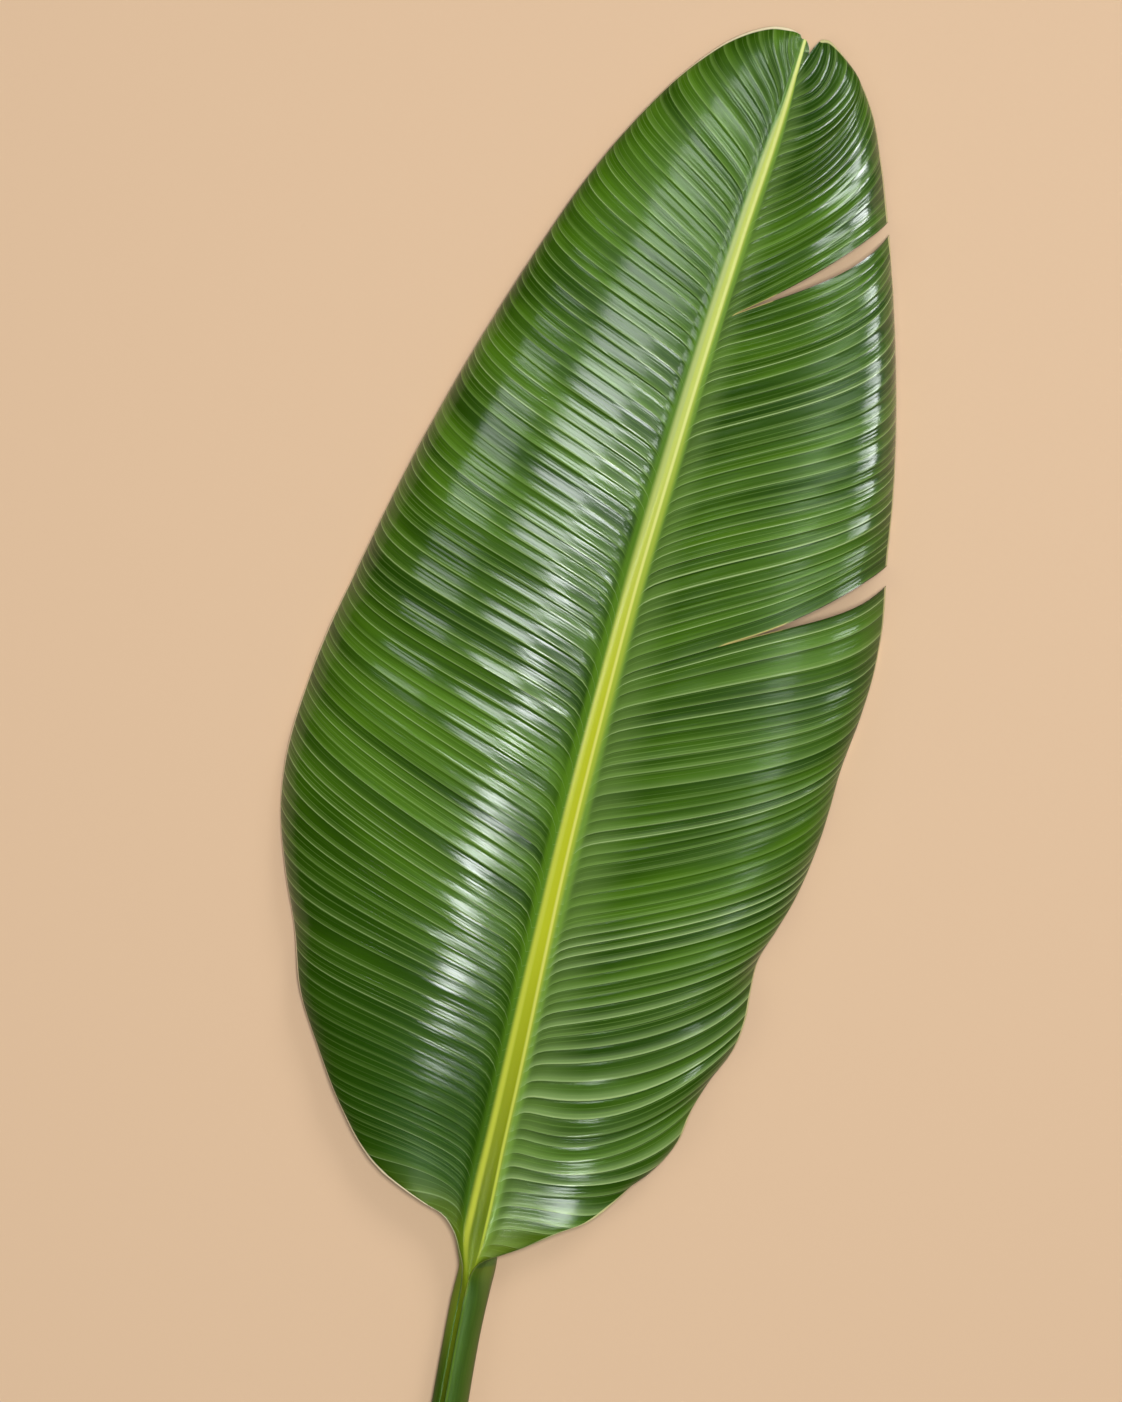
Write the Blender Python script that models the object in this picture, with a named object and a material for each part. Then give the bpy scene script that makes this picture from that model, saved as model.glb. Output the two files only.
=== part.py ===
# White bird of paradise leaf, cut with its petiole and lying glossy face up.
# Metres, +Z up, +Y from the petiole to the tip. The leaf grew as one piece, so it is one solid:
# a sheet of veins laid row by row from the midrib to the margins, thickened downwards,
# with a rounded keel under the midrib that runs on as the grooved petiole.

import math

import bmesh
import bpy
import numpy as np

MM = 0.001

# Thickness of the blade and the pleats along its veins, in millimetres. The pleats grow out of the
# smooth base of the blade and ease off towards the tip.
BLADE_THICK = 0.95
BLADE_THICK_BY_MIDRIB = 1.3
PLEAT_PITCH = 11.0
PLEAT_HEIGHT = 0.75
PLEATS_GROW = (12.0, 60.0)
PLEATS_EASE = (590.0, 632.0)
PLEATS_EASE_BY = 0.7

# Rise of each half beside the midrib: a short steep gutter wall, then a long swell to the crest.
GUTTER_SHARE = {-1: 0.28, 1: 0.14}
GUTTER_RUN = {-1: 4.2, 1: 3.0}
CREST_RUN = 25.0
CREST_POWER = 1.5

# Where the veins and the rows of the sheet lie, as shares of each vein and as places on the midrib.
VEIN_SHARES = (0.0, 0.07, 0.18, 0.3, 0.52, 0.74, 0.9, 1.0)
STRIP_SHARES = (-1.0, -0.5, 0.0, 0.5, 1.0)
FIRST_VEIN = -19.0
LOWER_TEAR = 295.0
UPPER_TEAR = 479.5
TIP_NOTCH = 612.0
LAST_VEIN = 631.0

# Petiole: a round stalk with a narrow groove turned a little to the left of the top.
PETIOLE_END = -215.0
PETIOLE_STATIONS = (-215.0, -190.0, -160.0, -130.0, -102.0, -76.0, -54.0, -38.0, -28.0)
PETIOLE_RADIUS = ((-215.0, 11.2), (-150.0, 9.9), (-75.0, 9.1), (-30.0, 9.0), (-10.0, 9.4), (12.0, 10.2))
GROOVE_TURN = math.radians(-26.0)
GROOVE_HALF_ANGLE = math.radians(12.0)
GROOVE_DEPTH = 4.6
GROOVE_LIP = 0.7
CUT_SLANT = 0.3
GROOVE_OPENS = (-25.0, 12.0)
STALK_BECOMES_KEEL = (-6.0, 34.0)
FLANK_UNROLLS = (0.35, 0.75)

# The midrib seen from above (place along it, sideways), and its upper face.
STALK_LINE = ((-215.0, 26.0), (-150.0, 18.8), (-75.0, 10.1), (-30.0, 6.1), (-8.0, 4.9), (12.0, 4.0),
              (34.0, 0.0))
MIDRIB_LINE = ((-25.0, 2.0), (-10.0, 1.2), (0.0, 0.3), (28.0, -1.3), (90.0, -3.8), (151.0, -6.6),
               (213.0, -8.9), (275.0, -10.0), (337.0, -10.2), (400.0, -8.5), (462.0, -6.6),
               (525.0, -4.2), (588.0, -0.9), (632.0, 0.0))
STRIP_HALF_WIDTH = ((-25.0, 1.2), (-8.0, 3.0), (0.0, 4.4), (25.0, 6.6), (60.0, 7.0), (151.0, 6.7),
                    (213.0, 5.7), (275.0, 4.9), (337.0, 4.1), (400.0, 2.8), (462.0, 2.4),
                    (557.0, 1.7), (632.0, 1.3))
TIP_STRIP_EXTRA = ((612.0, 0.0), (617.0, 1.5), (624.0, 2.9), (629.0, 1.2), (631.0, -0.6))
STRIP_TOP = ((-28.0, 14.0), (12.0, 15.8), (60.0, 18.5), (140.0, 21.5), (230.0, 22.5), (330.0, 21.0),
             (430.0, 17.5), (520.0, 12.5), (590.0, 6.6), (632.0, 2.4))
KEEL_BOTTOM = ((-28.0, 0.0), (12.0, 0.6), (60.0, 4.8), (140.0, 10.5), (230.0, 13.4), (330.0, 13.6),
               (430.0, 12.2), (520.0, 8.8), (590.0, 3.9), (632.0, 0.5))
STRIP_CHANNEL = 0.16
KEEL_OVERHANG = 2.4

# Margins seen from above, from the groove's lip round the blade to the tip: (along, sideways).
LEFT_MARGIN = ((-19.0, -0.8), (-10.6, -2.5), (-4.7, -3.9), (3.0, -8.1), (11.5, -13.0), (17.7, -20.4),
               (20.1, -30.4), (24.4, -43.0), (29.2, -54.2), (40.6, -69.3), (53.0, -80.5), (78.8, -100.0),
               (105.2, -117.1), (133.4, -127.9), (161.0, -140.3), (194.0, -152.0), (221.5, -155.6),
               (249.2, -155.2), (281.2, -152.1), (315.1, -146.2), (363.7, -137.0), (431.0, -120.5),
               (499.0, -99.6), (533.5, -87.3), (569.0, -71.2), (606.5, -48.3), (620.1, -36.5),
               (629.5, -24.0), (633.3, -15.7), (634.1, -8.2), (632.5, -1.3))
RIGHT_MARGIN = ((-19.0, 3.4), (-7.7, 4.2), (-1.1, 7.4), (3.0, 13.4), (9.5, 23.3), (23.4, 39.7),
                (33.3, 53.1), (45.2, 62.2), (57.1, 69.8), (65.1, 76.4), (76.2, 82.7), (83.7, 85.3),
                (99.2, 87.3), (116.8, 92.8), (133.7, 99.6), (149.8, 101.4), (165.1, 100.3), (179.5, 99.9),
                (197.4, 104.8), (214.3, 109.5), (245.6, 113.9), (262.3, 114.5), (280.5, 114.6),
                (312.4, 117.3), (336.9, 117.8), (356.1, 116.1), (390.5, 109.2), (415.3, 105.0),
                (444.7, 98.7), (497.6, 83.9), (545.0, 67.7), (580.6, 53.7), (605.3, 41.8), (614.4, 35.3),
                (621.5, 29.0), (627.9, 21.0), (631.7, 15.3), (633.5, 11.4), (632.9, 8.4))

# Veins: where each leaves the midrib, how far along the margin it ends, and the angles from the
# midrib, in degrees, at which it leaves and arrives. Each hooks back along the midrib at its foot.
LEFT_VEINS = ((-19, 0, 70, 60), (-6, 15, 60, 75), (12, 69, 52, 76), (18, 95, 55, 60), (33, 123, 66, 42),
              (50, 145, 70, 44), (74, 182, 73, 40), (104, 217, 76, 38), (145, 288, 74, 26),
              (197, 343, 72, 28), (259, 395, 71, 14), (354, 494, 71, -4), (418, 558, 70, -16),
              (483, 623, 66.5, -26), (508, 655, 60, -28), (522, 667, 55, -30), (536, 685, 52, -30),
              (551, 699, 47, -27), (565, 712, 43, -22), (584, 732, 40, -12), (600, 748, 42, 0),
              (631, 761, 66, 92))
RIGHT_VEINS = ((-19, 0, 70, 60), (-4, 17, 60, 60), (11, 58, 66, 52), (23, 81, 76, 42), (36, 115, 88, 30),
               (52, 154, 100, 22), (70, 190, 98, 28), (89, 208, 84, 27), (112, 236, 70, 24),
               (132, 262, 65, 22), (181, 322, 66, 11), (235, 371, 67, 12), (272, 408, 62, 22),
               (295, 440, 58.5, 33), (322, 462, 57, 24), (367, 502, 54, 8), (438, 576, 62, -4),
               (467, 604, 62, 4), (479.5, 614, 54, 22), (507, 644, 56, 2), (542, 683, 63, -22),
               (586, 703, 80, -50), (596, 714, 84, -40), (612, 719, 16, 38))
HANDLE_AT_MIDRIB = 0.45
HANDLE_AT_MARGIN = {-1: 0.14, 1: 0.2}
HOOK = {-1: 8.0, 1: 4.0}
HOOK_REACH = {-1: 2.6, 1: 2.2}
FULL_HOOK_LENGTH = 40.0

# Height of the margins above the surface that the leaf lies on: (along the margin, height).
LEFT_EDGE_HEIGHT = ((0, 18.6), (20, 20.0), (50, 19.0), (90, 15.0), (140, 9.0), (200, 4.4), (270, 1.6),
                    (330, 0.9), (400, 1.0), (500, 2.6), (600, 5.0), (690, 5.2), (740, 3.4), (764, 2.2))
RIGHT_EDGE_HEIGHT = ((0, 18.6), (18, 22.5), (38, 25.0), (60, 23.0), (90, 17.5), (130, 12.0), (180, 8.0),
                     (240, 5.5), (300, 3.0), (360, 0.9), (440, 1.2), (520, 2.6), (614, 4.0), (690, 4.4),
                     (719, 3.4))
CREST_HEIGHT = ((-28.0, 2.0), (12.0, 7.0), (50.0, 12.0), (110.0, 14.0), (430.0, 12.5), (540.0, 8.0),
                (600.0, 4.0), (632.0, 1.5))
DROOP_POWER = {-1: 3.0, 1: 4.2}
RUFFLE_LENGTH = 58.0
RUFFLE_STRENGTH = {-1: 0.4, 1: 1.0}
RUFFLE = ((0, 0.0), (60, 0.6), (120, 3.2), (240, 3.4), (330, 1.2), (400, 0.5), (764, 0.5))

# Tears along a vein of the right half: place, column where each begins, gap at the margin,
# how far its opening spreads to the neighbours, how much the lower lip lifts, how far it sags
# and how far the upper lip bows up.
TEARS = ((LOWER_TEAR, 3, 9.8, 45.0, 2.6, 1.4, 0.0), (UPPER_TEAR, 1, 6.2, 40.0, 1.6, 2.8, 1.8),
         (TIP_NOTCH, 0, 0.0, 30.0, 0.0, 0.0, 0.0))
TEAR_WIDENS_UNTIL = 0.87
LIP_REACH = 14.0
BOW_REACH = 22.0


def smooth_through(table, x):
    """Smooth curve through a table of (place, value, ...), each slope read from its neighbours."""
    rows = np.array(table, dtype=float)
    knots = rows[:, 0]
    values = rows[:, 1:]
    steps = np.diff(knots)[:, None]
    slopes = np.diff(values, axis=0) / steps
    inner = (slopes[:-1] * steps[1:] + slopes[1:] * steps[:-1]) / (steps[:-1] + steps[1:])
    tangents = np.vstack([slopes[:1], inner, slopes[-1:]])
    x = np.clip(np.atleast_1d(np.asarray(x, dtype=float)), knots[0], knots[-1])
    i = np.clip(np.searchsorted(knots, x, side="right") - 1, 0, len(knots) - 2)
    h = steps[i]
    u = ((x - knots[i])[:, None]) / h
    result = ((1 + 2 * u) * (1 - u) ** 2 * values[i] + u * (1 - u) ** 2 * h * tangents[i]
              + u * u * (3 - 2 * u) * values[i + 1] + u * u * (u - 1) * h * tangents[i + 1])
    return result[:, 0] if values.shape[1] == 1 else result


def smooth_step(low, high, x):
    u = np.clip((np.asarray(x, dtype=float) - low) / (high - low), 0.0, 1.0)
    return u * u * (3 - 2 * u)


def with_runs(points):
    """Margin points as (run along the margin, sideways, along)."""
    along = np.array([p[0] for p in points])
    sideways = np.array([p[1] for p in points])
    run = np.concatenate([[0.0], np.cumsum(np.hypot(np.diff(along), np.diff(sideways)))])
    return np.column_stack([run, sideways, along])


class Half:
    """One half of the blade: its margin, its veins and the height of its edge."""

    def __init__(self, side, margin, veins, edge_height, ruffle_shift, tears):
        self.side = side
        self.margin = with_runs(margin)
        self.veins = veins
        self.edge_height = edge_height
        self.ruffle_shift = ruffle_shift
        self.tears = tears


LEFT = Half(-1, LEFT_MARGIN, LEFT_VEINS, LEFT_EDGE_HEIGHT, 0.3, ())
RIGHT = Half(1, RIGHT_MARGIN, RIGHT_VEINS, RIGHT_EDGE_HEIGHT, 0.0, TEARS)


def strip_half_width(start, side):
    width = smooth_through(STRIP_HALF_WIDTH, start)[0]
    if side > 0 and start > TIP_NOTCH:
        width += smooth_through(TIP_STRIP_EXTRA, start)[0]
    return width


def tear_opening(half, start, run, above):
    """How far the row's end slides along the margin, lifts and bows, and where that begins."""
    slide = 0.0
    lift = 0.0
    bow = 0.0
    begins = 1.0
    nearest = 1e9
    for place, column, gap, spread, lip_lift, lip_sag, lip_bow in half.tears:
        tear_run = smooth_through(half.veins, place)[0, 0]
        away = run - tear_run
        if start == place:
            direction = 1.0 if above else -1.0
        else:
            direction = math.copysign(1.0, start - place)
        slide += direction * 0.5 * gap * math.exp(-abs(away) / spread)
        if direction < 0:
            lift += lip_lift * math.exp(-abs(away) / LIP_REACH)
        bow += (-lip_sag if direction < 0 else lip_bow) * math.exp(-abs(away) / BOW_REACH)
        if abs(away) < nearest:
            nearest = abs(away)
            begins = VEIN_SHARES[column]
    return slide, lift, bow, begins


def share_of_rise(side, out):
    """The blade rises steeply through the gutter by the midrib, then in a longer swell."""
    gutter = 1 - np.exp(-(out / GUTTER_RUN[side]) ** 2)
    swell = 1 - np.exp(-(out / CREST_RUN) ** CREST_POWER)
    return GUTTER_SHARE[side] * gutter + (1 - GUTTER_SHARE[side]) * swell


def vein_points(half, start, shares, above=False):
    """Places and heights along one vein, from the edge of the midrib's strip to the margin."""
    run, leave, arrive = smooth_through(half.veins, start)[0]
    slide, lift, bow, begins = tear_opening(half, start, run, above)
    leave = math.radians(leave)
    arrive = math.radians(arrive)
    foot_x = smooth_through(MIDRIB_LINE, start)[0] + half.side * strip_half_width(start, half.side)
    foot = np.array([foot_x, start])
    tip = smooth_through(half.margin, run)[0]
    length = math.hypot(*(tip - foot))
    leave_way = np.array([half.side * math.sin(leave), math.cos(leave)])
    arrive_way = np.array([half.side * math.sin(arrive), math.cos(arrive)])
    hook = HOOK[half.side] * min(1.0, length / FULL_HOOK_LENGTH)
    raised = foot + np.array([0.0, hook])
    t = np.array(shares)[:, None]
    bend_1 = raised + leave_way * HANDLE_AT_MIDRIB * length
    bend_2 = tip - arrive_way * HANDLE_AT_MARGIN[half.side] * length
    place = (1 - t) ** 3 * raised + 3 * (1 - t) ** 2 * t * bend_1
    place += 3 * (1 - t) * t * t * bend_2 + t ** 3 * tip
    out = t[:, 0] * length
    place[:, 1] -= hook * np.exp(-out / HOOK_REACH[half.side])
    torn_share = np.clip((t[:, 0] - begins) / max(1.0 - begins, 0.01), 0.0, 1.0)
    opened = smooth_step(0.0, TEAR_WIDENS_UNTIL, torn_share)
    slid = smooth_through(half.margin, run + slide)[0] - tip
    place += opened[:, None] * slid
    place[:, 1] += bow * np.sin(math.pi * torn_share)

    foot_height = smooth_through(STRIP_TOP, start)[0]
    rise = smooth_through(CREST_HEIGHT, start)[0] * share_of_rise(half.side, out)
    ruffle = smooth_through(RUFFLE, run)[0]
    wave = ruffle * (1 - math.cos(2 * math.pi * (run / RUFFLE_LENGTH + half.ruffle_shift)))
    edge = smooth_through(half.edge_height, run)[0] + RUFFLE_STRENGTH[half.side] * wave
    droop = (edge - foot_height - rise[-1]) * t[:, 0] ** DROOP_POWER[half.side]
    height = foot_height + rise + droop + lift * opened * t[:, 0]
    return np.column_stack([place, height])


def pleat(row, out_shares):
    """Alternate rows stand up and lie down, so the sheet is pleated along its veins."""
    spread = smooth_step(0.0, 0.12, out_shares) * (1 - 0.5 * smooth_step(0.8, 1.0, out_shares))
    return (PLEAT_HEIGHT if row % 2 else -PLEAT_HEIGHT) * 0.5 * spread


def blade_row(row, start, above=False):
    """Upper and lower points of one row: left margin, midrib strip, right margin."""
    shares = np.array(VEIN_SHARES)
    grow = float(smooth_step(*PLEATS_GROW, start))
    grow *= float(1 - PLEATS_EASE_BY * smooth_step(*PLEATS_EASE, start))
    sheet = {}
    for half in (LEFT, RIGHT):
        points = vein_points(half, start, shares, above and half is RIGHT)
        points[:, 2] += grow * pleat(row, shares)
        sheet[half.side] = points
    thick = BLADE_THICK + (BLADE_THICK_BY_MIDRIB - BLADE_THICK) * (1 - smooth_step(0.0, 0.3, shares))
    centre = smooth_through(MIDRIB_LINE, start)[0]
    top_z = smooth_through(STRIP_TOP, start)[0]
    depth = top_z - smooth_through(KEEL_BOTTOM, start)[0]
    strip_top = []
    strip_bottom = []
    for share in STRIP_SHARES:
        half_width = strip_half_width(start, 1 if share > 0 else -1)
        x = centre + share * half_width
        channel = STRIP_CHANNEL * half_width * (1 - share * share)
        round_share = share * half_width / (half_width + KEEL_OVERHANG)
        strip_top.append((x, start, top_z - channel))
        strip_bottom.append((x, start, top_z - depth * math.sqrt(1 - round_share ** 2)))
    left_top = sheet[-1][::-1][:-1]
    right_top = sheet[1][1:]
    top = np.vstack([left_top, strip_top, right_top])
    left_bottom = left_top - np.column_stack([np.zeros((len(left_top), 2)), thick[::-1][:-1]])
    right_bottom = right_top - np.column_stack([np.zeros((len(right_top), 2)), thick[1:]])
    bottom = np.vstack([left_bottom, strip_bottom, right_bottom])
    return top, bottom


def petiole_row(along):
    """The grooved stalk: the sheet's upper face is the groove, its lower face the round outside."""
    radius = smooth_through(PETIOLE_RADIUS, along)[0]
    centre = smooth_through(STALK_LINE, along)[0]
    count = 2 * len(VEIN_SHARES) + len(STRIP_SHARES) - 2
    side = np.linspace(-1.0, 1.0, count)
    angle = GROOVE_TURN + math.pi - side * (math.pi - GROOVE_HALF_ANGLE)
    outer = np.column_stack([centre + radius * np.sin(angle), np.full(count, along),
                             radius + radius * np.cos(angle)])
    half_mouth = radius * math.sin(GROOVE_HALF_ANGLE) - GROOVE_LIP
    lip_reach = radius * math.cos(GROOVE_HALF_ANGLE) - 0.15
    across = half_mouth * np.sin(side * math.pi / 2)
    up = lip_reach - GROOVE_DEPTH * np.cos(side * math.pi / 2)
    turned_x = across * math.cos(GROOVE_TURN) + up * math.sin(GROOVE_TURN)
    turned_z = up * math.cos(GROOVE_TURN) - across * math.sin(GROOVE_TURN)
    inner = np.column_stack([centre + turned_x, np.full(count, along), radius + turned_z])
    return inner, outer


def joined_row(row, start, above=False):
    """Petiole below the blade, blade above it, and a smooth change where the groove opens."""
    open_share = float(smooth_step(*GROOVE_OPENS, start))
    keel_share = float(smooth_step(*STALK_BECOMES_KEEL, start))
    if open_share <= 0.0:
        return petiole_row(start)
    top, bottom = blade_row(row, start, above)
    if keel_share < 1.0:
        inner, outer = petiole_row(start)
        top = inner + open_share * (top - inner)
        off_centre = np.abs(np.linspace(-1.0, 1.0, len(top)))
        flank = smooth_step(*FLANK_UNROLLS, off_centre)
        share = keel_share + (open_share - keel_share) * flank
        bottom = outer + share[:, None] * (bottom - outer)
    bottom[:, 2] = np.maximum(bottom[:, 2], 0.0)
    top[:, 2] = np.maximum(top[:, 2], bottom[:, 2] + BLADE_THICK)
    return top, bottom


def row_places():
    """Where the rows start on the midrib: even steps of half a pleat between the tears."""
    places = list(PETIOLE_STATIONS)
    ends = (FIRST_VEIN, LOWER_TEAR, UPPER_TEAR, TIP_NOTCH, LAST_VEIN)
    for low, high in zip(ends[:-1], ends[1:]):
        steps = 2 * max(1, round((high - low) / PLEAT_PITCH))
        places.extend(low + (high - low) * i / steps for i in range(steps))
    places.append(LAST_VEIN)
    return places


def build_leaf():
    places = row_places()
    mesh = bmesh.new()
    right_foot = len(VEIN_SHARES) - 1 + len(STRIP_SHARES) - 1
    below = []
    over = []
    partner = {}

    def add_pair(upper, lower):
        upper_vertex = mesh.verts.new(tuple(c * MM for c in upper))
        lower_vertex = mesh.verts.new(tuple(c * MM for c in lower))
        partner[upper_vertex] = lower_vertex
        return upper_vertex

    tear_columns = {tear[0]: right_foot + tear[1] for tear in TEARS}
    for row, place in enumerate(places):
        top, bottom = joined_row(row, place)
        if place == PETIOLE_END:
            top[:, 1] -= CUT_SLANT * top[:, 2]
            bottom[:, 1] -= CUT_SLANT * bottom[:, 2]
        last = right_foot if place > TIP_NOTCH else len(top) - 1
        vertices = [add_pair(top[c], bottom[c]) for c in range(last + 1)]
        below.append(vertices)
        if place in tear_columns and place != TIP_NOTCH:
            top, bottom = joined_row(row, place, above=True)
            kept = tear_columns[place] + 1
            vertices = vertices[:kept] + [add_pair(top[c], bottom[c]) for c in range(kept, last + 1)]
        over.append(vertices)

    for row in range(len(places) - 1):
        low = over[row]
        high = below[row + 1]
        for c in range(min(len(low), len(high)) - 1):
            corners = (low[c], low[c + 1], high[c + 1], high[c])
            strip = len(VEIN_SHARES) - 1 <= c < right_foot
            pale = 1 if strip or places[row] < FIRST_VEIN else 0
            for triangle in ((corners[0], corners[1], corners[2]), (corners[0], corners[2], corners[3])):
                mesh.faces.new(triangle).material_index = pale
                mesh.faces.new([partner[v] for v in reversed(triangle)]).material_index = pale

    rims = []
    for edge in mesh.edges:
        if len(edge.link_faces) == 1 and edge.verts[0] in partner and edge.verts[1] in partner:
            loop = edge.link_loops[0]
            rims.append((loop.vert, loop.link_loop_next.vert, edge.link_faces[0].material_index))
    for first, second, pale in rims:
        mesh.faces.new((second, first, partner[first])).material_index = pale
        mesh.faces.new((second, partner[first], partner[second])).material_index = pale
    return mesh


def put_on_origin(mesh):
    """Origin in the middle of the leaf's length and width, on the surface it lies on."""
    places = np.array([vertex.co[:] for vertex in mesh.verts])
    low = places.min(axis=0)
    high = places.max(axis=0)
    middle = (low + high) / 2
    bmesh.ops.translate(mesh, vec=(-middle[0], -middle[1], -low[2]), verts=mesh.verts[:])


def leaf_material(name, colour, roughness):
    material = bpy.data.materials.new(name)
    material.use_nodes = True
    shader = material.node_tree.nodes["Principled BSDF"]
    shader.inputs["Base Color"].default_value = (*colour, 1.0)
    shader.inputs["Roughness"].default_value = roughness
    shader.inputs["Metallic"].default_value = 0.0
    return material


def clear_scene():
    for item in list(bpy.data.objects):
        bpy.data.objects.remove(item, do_unlink=True)


def main():
    clear_scene()
    mesh = build_leaf()
    put_on_origin(mesh)
    data = bpy.data.meshes.new("leaf")
    mesh.to_mesh(data)
    mesh.free()
    data.materials.append(leaf_material("glossy green blade", (0.055, 0.13, 0.022), 0.32))
    data.materials.append(leaf_material("pale midrib and petiole", (0.33, 0.42, 0.06), 0.4))
    data.shade_smooth()
    data.set_sharp_from_angle(angle=math.radians(40))
    leaf = bpy.data.objects.new("leaf", data)
    bpy.context.scene.collection.objects.link(leaf)
    print("leaf:", len(data.vertices), "vertices,", len(data.polygons), "triangles")


main()
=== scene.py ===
# %% [markdown]
# A white bird of paradise leaf, cut with its petiole and laid glossy face up.
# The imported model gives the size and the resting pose. This script lays a much finer skin over it:
# every side vein is a rib in the mesh, the torn right half keeps its two tears and split tip,
# and the colours are painted by procedural nodes that read where a point lies on its vein.

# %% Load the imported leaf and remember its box
import math
import random

import bpy
import numpy as np
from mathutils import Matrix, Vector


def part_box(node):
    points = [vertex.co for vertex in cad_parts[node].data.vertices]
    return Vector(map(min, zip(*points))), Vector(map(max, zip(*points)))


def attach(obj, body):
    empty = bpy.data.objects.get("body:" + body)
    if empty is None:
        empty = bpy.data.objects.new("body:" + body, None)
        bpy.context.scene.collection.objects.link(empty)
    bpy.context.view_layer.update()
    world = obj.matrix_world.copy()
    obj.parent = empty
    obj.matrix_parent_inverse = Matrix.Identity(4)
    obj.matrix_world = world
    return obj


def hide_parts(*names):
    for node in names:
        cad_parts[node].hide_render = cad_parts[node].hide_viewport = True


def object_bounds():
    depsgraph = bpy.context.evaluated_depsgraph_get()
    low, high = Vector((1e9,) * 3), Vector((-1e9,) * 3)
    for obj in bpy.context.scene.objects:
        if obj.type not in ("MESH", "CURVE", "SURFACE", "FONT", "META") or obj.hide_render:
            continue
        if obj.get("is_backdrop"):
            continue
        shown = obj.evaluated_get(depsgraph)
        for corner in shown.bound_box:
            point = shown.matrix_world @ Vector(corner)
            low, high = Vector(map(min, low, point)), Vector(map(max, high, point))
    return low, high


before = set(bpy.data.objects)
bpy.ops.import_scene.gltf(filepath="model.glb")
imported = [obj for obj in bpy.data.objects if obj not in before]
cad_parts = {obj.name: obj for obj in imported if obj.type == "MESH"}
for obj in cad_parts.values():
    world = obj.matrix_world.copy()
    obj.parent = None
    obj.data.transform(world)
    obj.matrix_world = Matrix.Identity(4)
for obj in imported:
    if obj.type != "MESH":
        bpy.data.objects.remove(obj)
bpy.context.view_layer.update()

MM = 0.001

# %% [markdown]
# Every curve of the leaf is a short table of measured points with a smooth line through it,
# so one small function serves the margins, the midrib, the heights and the angles of the veins.

# %% Smooth lines through a few points
def smooth_through(table, x):
    """Smooth curve through a table of (place, value, ...), each slope read from its neighbours."""
    rows = np.array(table, dtype=float)
    knots = rows[:, 0]
    values = rows[:, 1:]
    steps = np.diff(knots)[:, None]
    slopes = np.diff(values, axis=0) / steps
    inner = (slopes[:-1] * steps[1:] + slopes[1:] * steps[:-1]) / (steps[:-1] + steps[1:])
    tangents = np.vstack([slopes[:1], inner, slopes[-1:]])
    x = np.clip(np.atleast_1d(np.asarray(x, dtype=float)), knots[0], knots[-1])
    i = np.clip(np.searchsorted(knots, x, side="right") - 1, 0, len(knots) - 2)
    h = steps[i]
    u = ((x - knots[i])[:, None]) / h
    result = ((1 + 2 * u) * (1 - u) ** 2 * values[i] + u * (1 - u) ** 2 * h * tangents[i]
              + u * u * (3 - 2 * u) * values[i + 1] + u * u * (u - 1) * h * tangents[i + 1])
    return result[:, 0] if values.shape[1] == 1 else result


def smooth_step(low, high, x):
    u = np.clip((np.asarray(x, dtype=float) - low) / (high - low), 0.0, 1.0)
    return u * u * (3 - 2 * u)


def with_runs(points):
    """Margin points as (run along the margin, sideways, along)."""
    along = np.array([p[0] for p in points])
    sideways = np.array([p[1] for p in points])
    run = np.concatenate([[0.0], np.cumsum(np.hypot(np.diff(along), np.diff(sideways)))])
    return np.column_stack([run, sideways, along])


print("a smooth line from 0 to 1 is at", smooth_through(((0, 0), (1, 1)), 0.5)[0], "halfway")

# %% [markdown]
# The outline comes first. Sizes are millimetres in the leaf's own frame: along the midrib from the
# base of the blade, and sideways from it. The left margin is one long calm sweep. The right one is
# ruffled near the base, where the blade grew faster than the rib that holds it.

# %% Outline and midrib
LEFT_MARGIN = ((-19.0, -0.8), (-10.6, -2.5), (-4.7, -3.9), (3.0, -8.1), (11.5, -13.0), (17.7, -20.4),
               (20.1, -30.4), (24.4, -43.0), (29.2, -54.2), (40.6, -69.3), (53.0, -80.5), (78.8, -100.0),
               (105.2, -117.1), (133.4, -127.9), (161.0, -140.3), (194.0, -152.0), (221.5, -155.6),
               (249.2, -155.2), (281.2, -152.1), (315.1, -146.2), (363.7, -137.0), (431.0, -120.5),
               (499.0, -99.6), (533.5, -87.3), (569.0, -71.2), (606.5, -48.3), (620.1, -36.5),
               (629.5, -24.0), (633.3, -15.7), (634.1, -8.2), (632.5, -1.3))
RIGHT_MARGIN = ((-19.0, 3.4), (-7.7, 4.2), (-1.1, 7.4), (3.0, 13.4), (9.5, 23.3), (23.4, 39.7),
                (33.3, 53.1), (45.2, 62.2), (57.1, 69.8), (65.1, 76.4), (76.2, 82.7), (83.7, 85.3),
                (99.2, 87.3), (116.8, 92.8), (133.7, 99.6), (149.8, 101.4), (165.1, 100.3), (179.5, 99.9),
                (197.4, 104.8), (214.3, 109.5), (245.6, 113.9), (262.3, 114.5), (280.5, 114.6),
                (312.4, 117.3), (336.9, 117.8), (356.1, 116.1), (390.5, 109.2), (415.3, 105.0),
                (444.7, 98.7), (497.6, 83.9), (545.0, 67.7), (580.6, 53.7), (605.3, 41.8), (614.4, 35.3),
                (621.5, 29.0), (627.9, 21.0), (631.7, 15.3), (633.5, 11.4), (632.9, 8.4))
STALK_LINE = ((-215.0, 26.0), (-150.0, 18.8), (-75.0, 10.1), (-30.0, 6.1), (-8.0, 4.9), (12.0, 4.0),
              (34.0, 0.0))
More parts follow.
